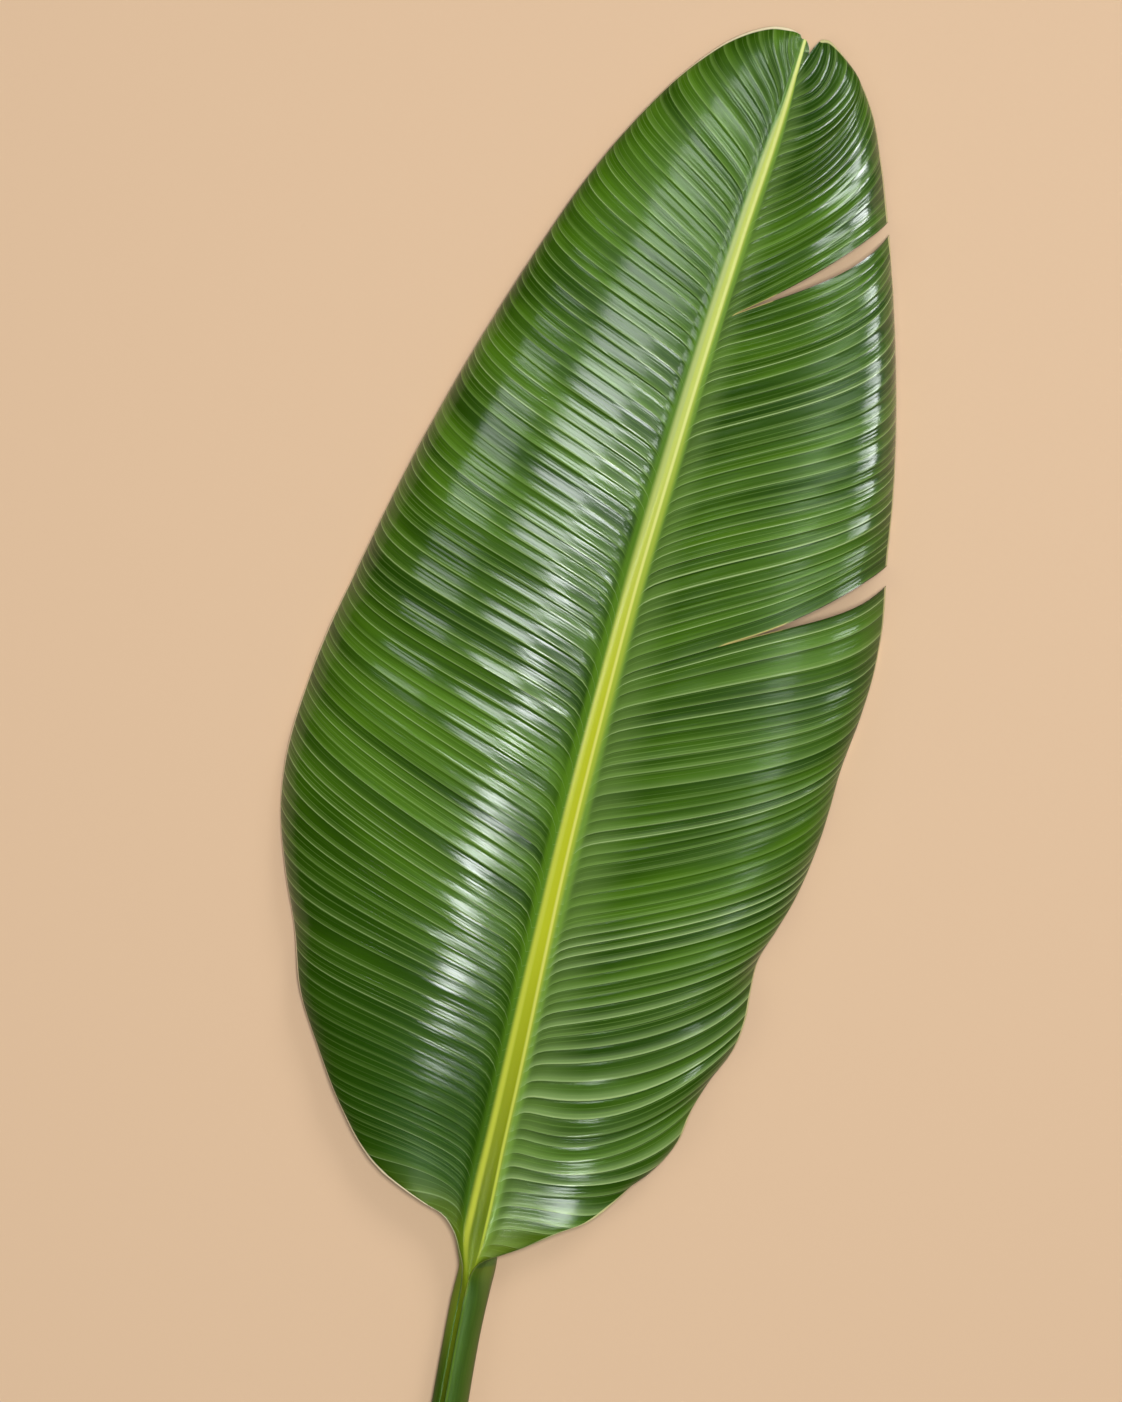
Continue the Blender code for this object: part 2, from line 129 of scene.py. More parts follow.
MIDRIB_LINE = ((-25.0, 2.0), (-10.0, 1.2), (0.0, 0.3), (28.0, -1.3), (90.0, -3.8), (151.0, -6.6),
               (213.0, -8.9), (275.0, -10.0), (337.0, -10.2), (400.0, -8.5), (462.0, -6.6),
               (525.0, -4.2), (588.0, -0.9), (632.0, 0.0))
STRIP_HALF_WIDTH = ((-25.0, 1.2), (-8.0, 3.0), (0.0, 4.4), (25.0, 6.6), (60.0, 7.0), (151.0, 6.7),
                    (213.0, 5.7), (275.0, 4.9), (337.0, 4.1), (400.0, 2.8), (462.0, 2.4),
                    (557.0, 1.7), (632.0, 1.3))
TIP_STRIP_EXTRA = ((612.0, 0.0), (617.0, 1.5), (624.0, 2.9), (629.0, 1.2), (631.0, -0.6))
FIRST_VEIN = -19.0
LOWER_TEAR = 295.0
UPPER_TEAR = 479.5
TIP_NOTCH = 612.0
LAST_VEIN = 631.0
margins = {-1: with_runs(LEFT_MARGIN), 1: with_runs(RIGHT_MARGIN)}
print("margin lengths, left and right:", [round(margins[side][-1, 0]) for side in (-1, 1)], "mm")

# %% [markdown]
# A side vein leaves the midrib at a wide angle, runs nearly straight and turns sharply towards the
# tip in its last tenth. One cubic curve with a long handle at the midrib and a short one at the
# margin has that shape. A row of a table gives a vein's place on the midrib, the run along the
# margin where it ends, and the angles from the midrib, in degrees, at which it leaves and arrives.
# The tables hold a few over twenty veins a side, and the rest lie between them. At its foot a vein
# hooks back along the midrib, so far and within such a distance as HOOKS says.

# %% Veins
LEFT_VEINS = ((-19, 0, 70, 60), (-6, 15, 60, 75), (12, 69, 52, 76), (18, 95, 55, 60), (33, 123, 66, 42),
              (50, 145, 70, 44), (74, 182, 73, 40), (104, 217, 76, 38), (145, 288, 74, 26),
              (197, 343, 72, 28), (259, 395, 71, 14), (354, 494, 71, -4), (418, 558, 70, -16),
              (483, 623, 66.5, -26), (508, 655, 60, -28), (522, 667, 55, -30), (536, 685, 52, -30),
              (551, 699, 47, -27), (565, 712, 43, -22), (584, 732, 40, -12), (600, 748, 42, 0),
              (631, 761, 66, 92))
RIGHT_VEINS = ((-19, 0, 70, 60), (-4, 17, 60, 60), (11, 58, 66, 52), (23, 81, 76, 42), (36, 115, 88, 30),
               (52, 154, 100, 22), (70, 190, 98, 28), (89, 208, 84, 27), (112, 236, 70, 24),
               (132, 262, 65, 22), (181, 322, 66, 11), (235, 371, 67, 12), (272, 408, 62, 22),
               (295, 440, 58.5, 33), (322, 462, 57, 24), (367, 502, 54, 8), (438, 576, 62, -4),
               (467, 604, 62, 4), (479.5, 614, 54, 22), (507, 644, 56, 2), (542, 683, 63, -22),
               (586, 703, 80, -50), (596, 714, 84, -40), (612, 719, 16, 38))
veins = {-1: LEFT_VEINS, 1: RIGHT_VEINS}
HANDLE_AT_MIDRIB = 0.45
HANDLE_AT_MARGIN = {-1: 0.14, 1: 0.2}
HOOKS = {-1: (8.0, 2.6), 1: (4.0, 2.2)}
FULL_HOOK_LENGTH = 40.0
print("veins measured, left and right:", len(LEFT_VEINS), len(RIGHT_VEINS))

# %% [markdown]
# Seen from the end, each half rises steeply out of the gutter beside the midrib, is highest at a
# quarter of its width and droops to the margin. That is what breaks the light into bands. Apart
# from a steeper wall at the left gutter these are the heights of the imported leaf, so the skin rests
# on the same low points.

# %% Heights
LEFT_EDGE_HEIGHT = ((0, 18.6), (20, 20.0), (50, 19.0), (90, 15.0), (140, 9.0), (200, 4.4), (270, 1.6),
                    (330, 0.9), (400, 1.0), (500, 2.6), (600, 5.0), (690, 5.2), (740, 3.4), (764, 2.2))
RIGHT_EDGE_HEIGHT = ((0, 18.6), (18, 22.5), (38, 25.0), (60, 23.0), (90, 17.5), (130, 12.0), (180, 8.0),
                     (240, 5.5), (300, 3.0), (360, 0.9), (440, 1.2), (520, 2.6), (614, 4.0), (690, 4.4),
                     (719, 3.4))
edge_heights = {-1: LEFT_EDGE_HEIGHT, 1: RIGHT_EDGE_HEIGHT}
STRIP_TOP = ((-28.0, 14.0), (12.0, 15.8), (60.0, 18.5), (140.0, 21.5), (230.0, 22.5), (330.0, 21.0),
             (430.0, 17.5), (520.0, 12.5), (590.0, 6.6), (632.0, 2.4))
KEEL_BOTTOM = ((-28.0, 0.0), (12.0, 0.6), (60.0, 4.8), (140.0, 10.5), (230.0, 13.4), (330.0, 13.6),
               (430.0, 12.2), (520.0, 8.8), (590.0, 3.9), (632.0, 0.5))
CREST_HEIGHT = ((-28.0, 2.0), (12.0, 7.0), (50.0, 12.0), (110.0, 14.0), (430.0, 12.5), (540.0, 8.0),
                (600.0, 4.0), (632.0, 1.5))
GUTTER_SHARE = {-1: 0.22, 1: 0.14}
GUTTER_RUN = {-1: 2.6, 1: 3.0}
CREST_RUN = 25.0
CREST_POWER = 1.5
DROOP_POWER = {-1: 3.0, 1: 4.2}
RUFFLE_LENGTH = 58.0
RUFFLE = ((0, 0.0), (60, 0.6), (120, 3.2), (240, 3.4), (330, 1.2), (400, 0.5), (764, 0.5))
ruffle_shift = {-1: 0.3, 1: 0.0}
ruffle_share = {-1: 0.4, 1: 1.0}
STRIP_CHANNEL = 0.16
KEEL_OVERHANG = 2.4
BLADE_THICK = 0.62
BLADE_THICK_BY_MIDRIB = 1.2
print("the crests rise", max(height for place, height in CREST_HEIGHT), "mm above the pale strip")

# %% [markdown]
# The blade tears where wind or handling pulls two veins apart, so a tear is a vein whose two sides
# have parted. Each tear: its place, where on the vein it begins, its gap at the margin, how far the
# opening spreads to the neighbours, how much the lower lip lifts, how far it sags, and how far
# the upper lip bows up.

# %% Tears
TEARS = ((LOWER_TEAR, 0.3, 9.8, 45.0, 2.6, 1.4, 0.0), (UPPER_TEAR, 0.07, 6.2, 40.0, 1.6, 2.8, 1.8),
         (TIP_NOTCH, 0.0, 0.0, 30.0, 0.0, 0.0, 0.0))
TEAR_WIDENS = (0.1, 0.87)
LIP_REACH = 14.0
BOW_REACH = 22.0
print("tears and tip notch at", [tear[0] for tear in TEARS], "mm, open by", [tear[2] for tear in TEARS], "mm")

# %% [markdown]
# The mesh is a grid. Its columns run along the leaf: 26 on each half, close together by the midrib,
# and 10 on the midrib's pale strip. Its rows are the veins, with four more rows between each pair,
# so every vein is a real rib. The spacing of the veins is uneven, as it grew.

# %% Rows and columns
VEIN_PITCH = 6.3
PITCH_SPREAD = 0.26
ROW_STEPS = (0.0, 0.15, 0.45, 0.74, 0.88)
HALF_COLUMNS = 26
STRIP_COLUMNS = 10
even = np.arange(HALF_COLUMNS + 1) / HALF_COLUMNS
shares = 1 - (1 - even ** 1.6) ** 1.25
strip_shares = np.linspace(-1.0, 1.0, STRIP_COLUMNS + 1)
anchors = (FIRST_VEIN, LOWER_TEAR, UPPER_TEAR, TIP_NOTCH, LAST_VEIN)
draw = random.Random(7)


def vein_places(low, high):
    """Uneven vein places from low to just below high, the same number for both halves."""
    count = round((high - low) / VEIN_PITCH)
    gaps = np.array([1 + draw.uniform(-PITCH_SPREAD, PITCH_SPREAD) for _ in range(count)])
    return low + (high - low) * np.concatenate([[0.0], np.cumsum(gaps)[:-1] / gaps.sum()])


def half_rows():
    """(place, vein number) of every row of one half."""
    places = np.concatenate([vein_places(low, high) for low, high in zip(anchors[:-1], anchors[1:])])
    places = np.append(places, LAST_VEIN)
    rows = []
    for number in range(len(places) - 1):
        gap = places[number + 1] - places[number]
        rows.extend((places[number] + gap * step, number + step) for step in ROW_STEPS)
    rows.append((LAST_VEIN, len(places) - 1.0))
    return rows


rows = {-1: half_rows(), 1: half_rows()}
print(len(rows[1]), "rows with", round(rows[1][-1][1]), "veins on each half")

# %% [markdown]
# The relief has three scales. Each vein is a rib that is steep towards the base and eases off
# towards the tip. Groups of veins swell and sink together, which scatters the sheen. And the
# margin's ruffle runs into the blade. The same seed gives the same leaf on each run.

# %% Relief across the veins
RIB_HEIGHT = 0.62
RIB = ((0.0, 1.0), (0.15, 0.74), (0.45, 0.28), (0.74, 0.0), (0.88, 0.2), (1.0, 1.0))
RIBS_FADE = {-1: 0.78, 1: 0.4}
SWELL_HEIGHT = {-1: 0.35, 1: 0.5}
RIBS_GROW = (12.0, 60.0)
RIBS_EASE = (590.0, 632.0)
RIBS_EASE_BY = 0.7
TURN = 6.28
MOST_VEINS = 140
swell_waves = [(draw.uniform(0.012, 0.055), draw.uniform(0, TURN), draw.uniform(-0.7, 0.7),
                draw.uniform(0, TURN)) for _ in range(14)]
rib_strength = {side: [draw.uniform(0.45, 1.25) for _ in range(MOST_VEINS)] for side in (-1, 1)}
CREST_SPREAD = 0.045
crest_luck = {side: [draw.uniform(1 - CREST_SPREAD, 1 + CREST_SPREAD) for _ in range(MOST_VEINS)]
              for side in (-1, 1)}


def relief(side, start, number, t):
    """Height of the ribs and of the swells at the shares t of one vein."""
    whole = int(number)
    part = number - whole
    peak = rib_strength[side][whole] * (1 - part) + rib_strength[side][whole + 1] * part
    rib = RIB_HEIGHT * peak * smooth_through(RIB, part)[0]
    fade = smooth_step(0.025, 0.06, t) * (1 - RIBS_FADE[side] * smooth_step(0.25, 0.65, t))
    swell = np.zeros(len(t))
    for rate, phase, slant, shift in swell_waves:
        swell += np.sin(start * rate * TURN + phase + slant * t * 3 + side * shift)
    swell *= SWELL_HEIGHT[side] / math.sqrt(len(swell_waves)) * smooth_step(0.03, 0.3, t)
    return rib * fade + swell


print(len(swell_waves), "swells; the tallest rib is", round(RIB_HEIGHT * max(rib_strength[1]), 2), "mm high")

# %% [markdown]
# A tear opens because the ends of the rows beside it slide apart along the margin, the upper lip
# towards the tip and the lower lip towards the base. The lower lip also lifts, and both lips bow
# between the tear's start and the margin. All of it fades with the distance from the tear, and
# nothing moves between the midrib and the place where the tear begins.

# %% Rows beside a tear
def tear_opening(side, start, run, above):
    """How far the row's end slides along the margin, lifts and bows, and where that begins."""
    slide = lift = bow = 0.0
    begins = 1.0
    nearest = 1e9
    for place, torn_from, gap, spread, lip_lift, lip_sag, lip_bow in TEARS if side > 0 else ():
        away = run - smooth_through(veins[side], place)[0, 0]
        if start == place:
            direction = 1.0 if above else -1.0
        else:
            direction = math.copysign(1.0, start - place)
        slide += direction * 0.5 * gap * math.exp(-abs(away) / spread)
        if direction < 0:
            lift += lip_lift * math.exp(-abs(away) / LIP_REACH)
        bow += (-lip_sag if direction < 0 else lip_bow) * math.exp(-abs(away) / BOW_REACH)
        if abs(away) < nearest:
            nearest = abs(away)
            begins = shares[np.argmin(np.abs(shares - torn_from))]
    return slide, lift, bow, begins


lip_slide = tear_opening(1, LOWER_TEAR, smooth_through(veins[1], LOWER_TEAR)[0, 0], False)[0]
print("the lower lip of the lower tear slides by", round(float(lip_slide), 1), "mm along the margin")

# %% [markdown]
# On its way out a row first climbs the steep gutter wall and then swells to the crest. No two strips
# between veins swell at quite the same distance. That breaks the sheen on the crest into short
# pieces, as on the real leaf.

# %% Rise to the crest
def rise_of(side, number, out):
    """Share of the crest's height; each strip between two veins swells at a distance of its own."""
    whole = int(number)
    part = number - whole
    stretch = crest_luck[side][whole] * (1 - part) + crest_luck[side][whole + 1] * part
    gutter = 1 - np.exp(-(out / GUTTER_RUN[side]) ** 2)
    crest = 1 - np.exp(-(out / (CREST_RUN * stretch)) ** CREST_POWER)
    return GUTTER_SHARE[side] * gutter + (1 - GUTTER_SHARE[side]) * crest


print("20 mm out, the left half has", round(100 * float(rise_of(-1, 50.0, 20.0))), "% of its rise")

# %% [markdown]
# One row of the grid: the vein's curve seen from above, opened where it is near a tear, and the
# heights along it. A Bezier curve suits the plan, because a vein leaves the midrib and meets the
# margin at angles that can be measured.

# %% One vein
def strip_half_width(start, side):
    width = smooth_through(STRIP_HALF_WIDTH, start)[0]
    if side > 0 and start > TIP_NOTCH:
        width += smooth_through(TIP_STRIP_EXTRA, start)[0]
    return width


def vein_points(side, start, number, above=False):
    """Places, heights and distances from the strip along one row of a half."""
    run, leave, arrive = smooth_through(veins[side], start)[0]
    slide, lift, bow, begins = tear_opening(side, start, run, above)
    leave = math.radians(leave)
    arrive = math.radians(arrive)
    foot_x = smooth_through(MIDRIB_LINE, start)[0] + side * strip_half_width(start, side)
    foot = np.array([foot_x, start])
    tip = smooth_through(margins[side], run)[0]
    length = math.hypot(*(tip - foot))
    leave_way = np.array([side * math.sin(leave), math.cos(leave)])
    arrive_way = np.array([side * math.sin(arrive), math.cos(arrive)])
    hook_size, hook_reach = HOOKS[side]
    hook = hook_size * min(1.0, length / FULL_HOOK_LENGTH)
    raised = foot + np.array([0.0, hook])
    t = shares[:, None]
    bend_1 = raised + leave_way * HANDLE_AT_MIDRIB * length
    bend_2 = tip - arrive_way * HANDLE_AT_MARGIN[side] * length
    place = (1 - t) ** 3 * raised + 3 * (1 - t) ** 2 * t * bend_1
    place += 3 * (1 - t) * t * t * bend_2 + t ** 3 * tip
    out = shares * length
    place[:, 1] -= hook * np.exp(-out / hook_reach)
    torn_share = np.clip((shares - begins) / max(1.0 - begins, 0.01), 0.0, 1.0)
    opened = smooth_step(*TEAR_WIDENS, torn_share)
    slid = smooth_through(margins[side], run + slide)[0] - tip
    place += opened[:, None] * slid
    place[:, 1] += bow * np.sin(math.pi * torn_share)

    foot_height = smooth_through(STRIP_TOP, start)[0]
    rise = smooth_through(CREST_HEIGHT, start)[0] * rise_of(side, number, out)
    ruffle = smooth_through(RUFFLE, run)[0] * ruffle_share[side]
    wave = ruffle * (1 - math.cos(2 * math.pi * (run / RUFFLE_LENGTH + ruffle_shift[side])))
    edge = smooth_through(edge_heights[side], run)[0] + wave
    droop = (edge - foot_height - rise[-1]) * shares ** DROOP_POWER[side]
    grow = float(smooth_step(*RIBS_GROW, start)) * float(1 - RIBS_EASE_BY * smooth_step(*RIBS_EASE, start))
    height = foot_height + rise + droop + lift * opened * shares
    height += grow * relief(side, start, number, shares)
    return np.column_stack([place, height]), out


print("the right vein just above the lower tear is", round(vein_points(1, LOWER_TEAR, 0.0)[1][-1]), "mm long")

# %% [markdown]
# Below the blade the two halves close to a round stalk with a narrow groove. The grid carries on:
# its upper face becomes the inside of the groove, and its lower face the round outside.

# %% Petiole
PETIOLE_END = -215.0
PETIOLE_STEP = 4.0
PETIOLE_RADIUS = ((-215.0, 11.2), (-150.0, 9.9), (-75.0, 9.1), (-30.0, 9.0), (-10.0, 9.4), (12.0, 10.2))
GROOVE_TURN = math.radians(-26.0)
GROOVE_HALF_ANGLE = math.radians(12.0)
GROOVE_DEPTH = 4.6
GROOVE_LIP = 0.7
LIP_INSET = 0.15
CUT_SLANT = 0.3
GROOVE_OPENS = (-25.0, 12.0)
STALK_BECOMES_KEEL = (-6.0, 34.0)
FLANK_UNROLLS = (0.35, 0.75)
row_size = 2 * HALF_COLUMNS + STRIP_COLUMNS + 1
ROUND_AT_SHARE = ((0.0, 0.07, 0.18, 0.3, 0.52, 0.74, 0.9, 1.0), np.arange(2, 10) / 9.0)
even_side = np.concatenate([-np.interp(shares[::-1][:-1], *ROUND_AT_SHARE),
                            np.linspace(-2 / 9, 2 / 9, STRIP_COLUMNS + 1),
                            np.interp(shares[1:], *ROUND_AT_SHARE)])


def petiole_row(along):
    radius = smooth_through(PETIOLE_RADIUS, along)[0]
    centre = smooth_through(STALK_LINE, along)[0]
    side = even_side
    angle = GROOVE_TURN + math.pi - side * (math.pi - GROOVE_HALF_ANGLE)
    outer = np.column_stack([centre + radius * np.sin(angle), np.full(row_size, along),
                             radius + radius * np.cos(angle)])
    half_mouth = radius * math.sin(GROOVE_HALF_ANGLE) - GROOVE_LIP
    lip_reach = radius * math.cos(GROOVE_HALF_ANGLE) - LIP_INSET
    across = half_mouth * np.sin(side * math.pi / 2)
    up = lip_reach - GROOVE_DEPTH * np.cos(side * math.pi / 2)
    turned_x = across * math.cos(GROOVE_TURN) + up * math.sin(GROOVE_TURN)
    turned_z = up * math.cos(GROOVE_TURN) - across * math.sin(GROOVE_TURN)
    inner = np.column_stack([centre + turned_x, np.full(row_size, along), radius + turned_z])
    return inner, outer


print("the petiole is", -PETIOLE_END, "mm long and", 2 * PETIOLE_RADIUS[3][1], "mm thick under the blade")

# %% [markdown]
# Between the two halves runs the midrib's strip. It is a shallow channel with a fine ridge right of
# its middle, and under it hangs the rounded keel that stiffens the leaf.

# %% Midrib strip and keel
STRIP_RIDGE = 0.28
RIDGE_PLACE = 0.56
RIDGE_WIDTH = 0.16
WIDEST_HALF = 7


def strip_points(start_left, start_right):
    centre = smooth_through(MIDRIB_LINE, (start_left + start_right) / 2)[0]
    top = []
    bottom = []
    for share in strip_shares:
        start = start_left + (start_right - start_left) * (share + 1) / 2
        half_width = strip_half_width(start, 1 if share > 0 else -1)
        top_z = smooth_through(STRIP_TOP, start)[0]
        depth = top_z - smooth_through(KEEL_BOTTOM, start)[0]
        ridge = STRIP_RIDGE * math.exp(-((share - RIDGE_PLACE) / RIDGE_WIDTH) ** 2) * half_width / WIDEST_HALF
        channel = STRIP_CHANNEL * half_width * (1 - share * share)
        round_share = share * half_width / (half_width + KEEL_OVERHANG)
        top.append((centre + share * half_width, start, top_z - channel + ridge))
        bottom.append((centre + share * half_width, start, top_z - depth * math.sqrt(1 - round_share ** 2)))
    return np.array(top), np.array(bottom)


channel_top = strip_points(LOWER_TEAR, LOWER_TEAR)[0][:, 2]
print("by the lower tear the channel is", round(float(channel_top.max() - channel_top.min()), 2), "mm deep")

# %% [markdown]
# A whole row goes from the left margin over the strip to the right margin. Where petiole and blade
# meet, the two shapes are mixed: the groove's wall rolls out into the gutter, and the stalk's
# outside shrinks to the keel.

# %% Whole rows
def blade_row(index, above=False):
    left, left_out = vein_points(-1, *rows[-1][index])
    right, right_out = vein_points(1, *rows[1][index], above)
    strip_top, strip_bottom = strip_points(rows[-1][index][0], rows[1][index][0])
    thick = BLADE_THICK + (BLADE_THICK_BY_MIDRIB - BLADE_THICK) * (1 - smooth_step(0.0, 0.3, shares))
    down = np.column_stack([np.zeros((len(shares), 2)), thick])
    top = np.vstack([left[::-1][:-1], strip_top, right[1:]])
    bottom = np.vstack([(left - down)[::-1][:-1], strip_bottom, (right - down)[1:]])
    out = np.concatenate([left_out[::-1][:-1], np.zeros(STRIP_COLUMNS + 1), right_out[1:]])
    return top, bottom, out


def joined_row(index, above=False):
    start = (rows[-1][index][0] + rows[1][index][0]) / 2
    top, bottom, out = blade_row(index, above)
    open_share = float(smooth_step(*GROOVE_OPENS, start))
    keel_share = float(smooth_step(*STALK_BECOMES_KEEL, start))
    if keel_share < 1.0:
        inner, outer = petiole_row(start)
        top = inner + open_share * (top - inner)
        flank = smooth_step(*FLANK_UNROLLS, np.abs(even_side))
        share = keel_share + (open_share - keel_share) * flank
        bottom = outer + share[:, None] * (bottom - outer)
    bottom[:, 2] = np.maximum(bottom[:, 2], 0.0)
    top[:, 2] = np.maximum(top[:, 2], bottom[:, 2] + BLADE_THICK)
    return top, bottom, out


top, bottom, out = joined_row(len(rows[1]) // 2)
print("halfway up the leaf the midrib is", round(float((top - bottom)[:, 2].max()), 1), "mm deep")

# %% [markdown]
# The yellow of the midrib is a little narrower than its raised strip, and a green gutter lies on
# each side of it. A row of this table gives a place along the midrib and then, in millimetres from
# the midrib's middle line, the yellow strip's centre, its half width, the pale line in it, and the
# outer edges of the left and the right gutter.

# %% Where the pale strip shows
PALE_STRIP = ((-25.0, 0.0, 3.0, 2.5, 5.0, 5.0), (0.0, 0.0, 5.2, 4.4, 8.0, 7.5),
              (20.0, 0.1, 5.6, 4.8, 9.0, 8.5), (60.0, 0.2, 5.2, 4.1, 9.0, 8.5),
              (120.0, 0.2, 4.8, 3.5, 8.7, 8.0), (200.0, 0.4, 4.5, 2.5, 8.5, 8.0),
              (300.0, 0.5, 4.4, 1.9, 7.4, 6.4), (400.0, -0.2, 3.9, 0.9, 6.6, 5.0),
              (460.0, -0.9, 3.1, 0.6, 6.2, 4.2), (520.0, -0.6, 2.8, 0.7, 4.6, 4.0),
              (580.0, -0.2, 2.1, 0.6, 3.4, 3.0), (600.0, 0.4, 1.4, 0.5, 2.4, 2.2),
              (632.0, 0.3, 0.7, 0.3, 1.2, 1.2))
print("the yellow strip is at most", 2 * max(row[2] for row in PALE_STRIP), "mm wide")

# %% [markdown]
# Each point of the grid also remembers where it lies: its vein number, its share of the way to the
# margin, its place across the yellow strip, from the pale line and in the gutter, its place along
# the leaf and round the stalk, how far it belongs to the stalk, which side it is on, whether it is
# on a torn edge, and how far it is from the margin. The materials paint by these.

# %% What the points remember
right_foot = HALF_COLUMNS + STRIP_COLUMNS
share_of_vein = np.concatenate([shares[::-1][:-1], np.zeros(STRIP_COLUMNS + 1), shares[1:]])
side_of_leaf = np.concatenate([np.full(HALF_COLUMNS, -1.0), strip_shares, np.full(HALF_COLUMNS, 1.0)])
ACROSS_PER_OUT = 0.9
FAR_FROM_MARGIN = 20.0
EDGE_COLUMNS = 4
MARGIN_STEP = 0.3
margin_lines = {side: smooth_through(margins[side], np.arange(0.0, margins[side][-1, 0], MARGIN_STEP))
                for side in (-1, 1)}


def midrib_facts(start, out):
    """Place of each column across the pale strip, from its pale line and in the gutter."""
    centre, half_width, line, left_edge, right_edge = smooth_through(PALE_STRIP, start)[0]
    widths = np.array([strip_half_width(start, side) for side in np.where(side_of_leaf > 0, 1, -1)])
    beside = side_of_leaf * widths + np.sign(side_of_leaf) * out * ACROSS_PER_OUT
    gutter = beside / np.where(beside > 0, right_edge, -left_edge)
    return (beside - centre) / half_width, beside - line, gutter


def margin_distance(top):
    """How far each point is from its half's margin, over the drooping blade; only the outer columns know."""
    distance = np.full(row_size, FAR_FROM_MARGIN)
    for side, columns, edge in ((-1, slice(0, EDGE_COLUMNS), 0), (1, slice(-EDGE_COLUMNS, None), -1)):
        apart = margin_lines[side][None, :, :] - top[columns, None, :2]
        beside = np.hypot(apart[:, :, 0], apart[:, :, 1]).min(axis=1)
        distance[columns] = np.hypot(beside, top[columns, 2] - top[edge, 2])
    return distance


print("the margins are measured from every", MARGIN_STEP, "mm along them")

# %% [markdown]
# The rows are added from the cut end towards the tip, so the petiole comes first. Its first row
# leans, because a knife rarely cuts a stalk straight across.

# %% Petiole's rows
points = []
point_facts = []
below = []
over = []


def add_row(top, bottom, midrib, number, along, stalk, torn, to_margin, columns):
    """Adds upper and lower points of the columns of a row; returns the upper points' indices."""
    indices = []
    for c in columns:
        indices.append(len(points))
        for point in (top[c], bottom[c]):
            points.append(point)
            point_facts.append((number[c], share_of_vein[c], midrib[0][c], midrib[1][c], midrib[2][c], along,
                                stalk, side_of_leaf[c], torn[c], even_side[c], to_margin[c]))
    return indices


petiole_places = np.arange(PETIOLE_END, FIRST_VEIN - PETIOLE_STEP / 2, PETIOLE_STEP)
for along in petiole_places:
    top, bottom = petiole_row(along)
    if along == PETIOLE_END:
        top[:, 1] -= CUT_SLANT * top[:, 2]
        bottom[:, 1] -= CUT_SLANT * bottom[:, 2]
    nothing = np.zeros(row_size)
    midrib = (side_of_leaf, side_of_leaf, nothing)
    indices = add_row(top, bottom, midrib, nothing, along, 1.0, nothing, nothing + FAR_FROM_MARGIN,
                      range(row_size))
    below.append(indices)
    over.append(indices)
print(len(points), "points in", len(below), "rows of the petiole")

# %% [markdown]
# Then come the blade's rows. A row on a tear is added twice from where the tear starts: the lower lip
# for the faces below it and the upper lip for the faces above it. One list of rows is kept for each.
# A torn edge remembers 1 where the tear is still shut and -1 where it gapes. Above the tip's notch
# only the left half goes on.

# %% Blade's rows
tear_columns = {place: right_foot + int(np.argmin(np.abs(shares - torn_from)))
                for place, torn_from, *_ in TEARS}
SHUT_COLUMNS = {LOWER_TEAR: 5, UPPER_TEAR: 6}
STALK_ENDS = (-14.0, 22.0)
for index in range(len(rows[1])):
    start, number_right = rows[1][index]
    start_left, number_left = rows[-1][index]
    number = number_left + (number_right - number_left) * (side_of_leaf + 1) / 2
    stalk = 1.0 - float(smooth_step(*STALK_ENDS, start))
    last = right_foot if start > TIP_NOTCH else row_size - 1
    top, bottom, out = joined_row(index)
    midrib = midrib_facts(start, out)
    torn = np.zeros(row_size)
    if start in SHUT_COLUMNS:
        torn[tear_columns[start]:] = 1.0
        torn[tear_columns[start] + SHUT_COLUMNS[start]:] = -1.0
    indices = add_row(top, bottom, midrib, number, start, stalk, torn, margin_distance(top), range(last + 1))
    below.append(indices)
    if start in tear_columns and start != TIP_NOTCH:
        top, bottom, out = joined_row(index, above=True)
        kept = tear_columns[start] + 1
        indices = indices[:kept] + add_row(top, bottom, midrib, number, start, stalk, torn,
                                           margin_distance(top), range(kept, last + 1))
    over.append(indices)
print(len(points), "points in", len(below), "rows with the blade")

# %% [markdown]
# Each upper point has its lower partner right after it, so the underside is the same grid turned
# over. An edge that only one upper face has is on the outline or on a tear, and there the rim or the
# cut end joins the two sides.

# %% Faces
faces = []
finish = []
edge_count = {}
FACE_UP = 0
FACE_DOWN = 1
CUT_END = 2
RIM = 3
for row in range(len(below) - 1):
    low = over[row]
    high = below[row + 1]
    for c in range(min(len(low), len(high)) - 1):
        quad = (low[c], low[c + 1], high[c + 1], high[c])
        faces.append(quad)
        finish.append(FACE_UP)
        faces.append(tuple(i + 1 for i in reversed(quad)))
        finish.append(FACE_DOWN)
        for a, b in zip(quad, quad[1:] + quad[:1]):
            edge_count[(a, b)] = True
cut_row = set(below[0])
for a, b in list(edge_count):
    if (b, a) not in edge_count:
        faces.append((b, a, a + 1, b + 1))
        finish.append(CUT_END if a in cut_row and b in cut_row else RIM)
print(len(faces), "faces")

# %% [markdown]
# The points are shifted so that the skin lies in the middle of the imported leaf's box. What each
# point remembers becomes an attribute of the mesh, which a material can read by its name.

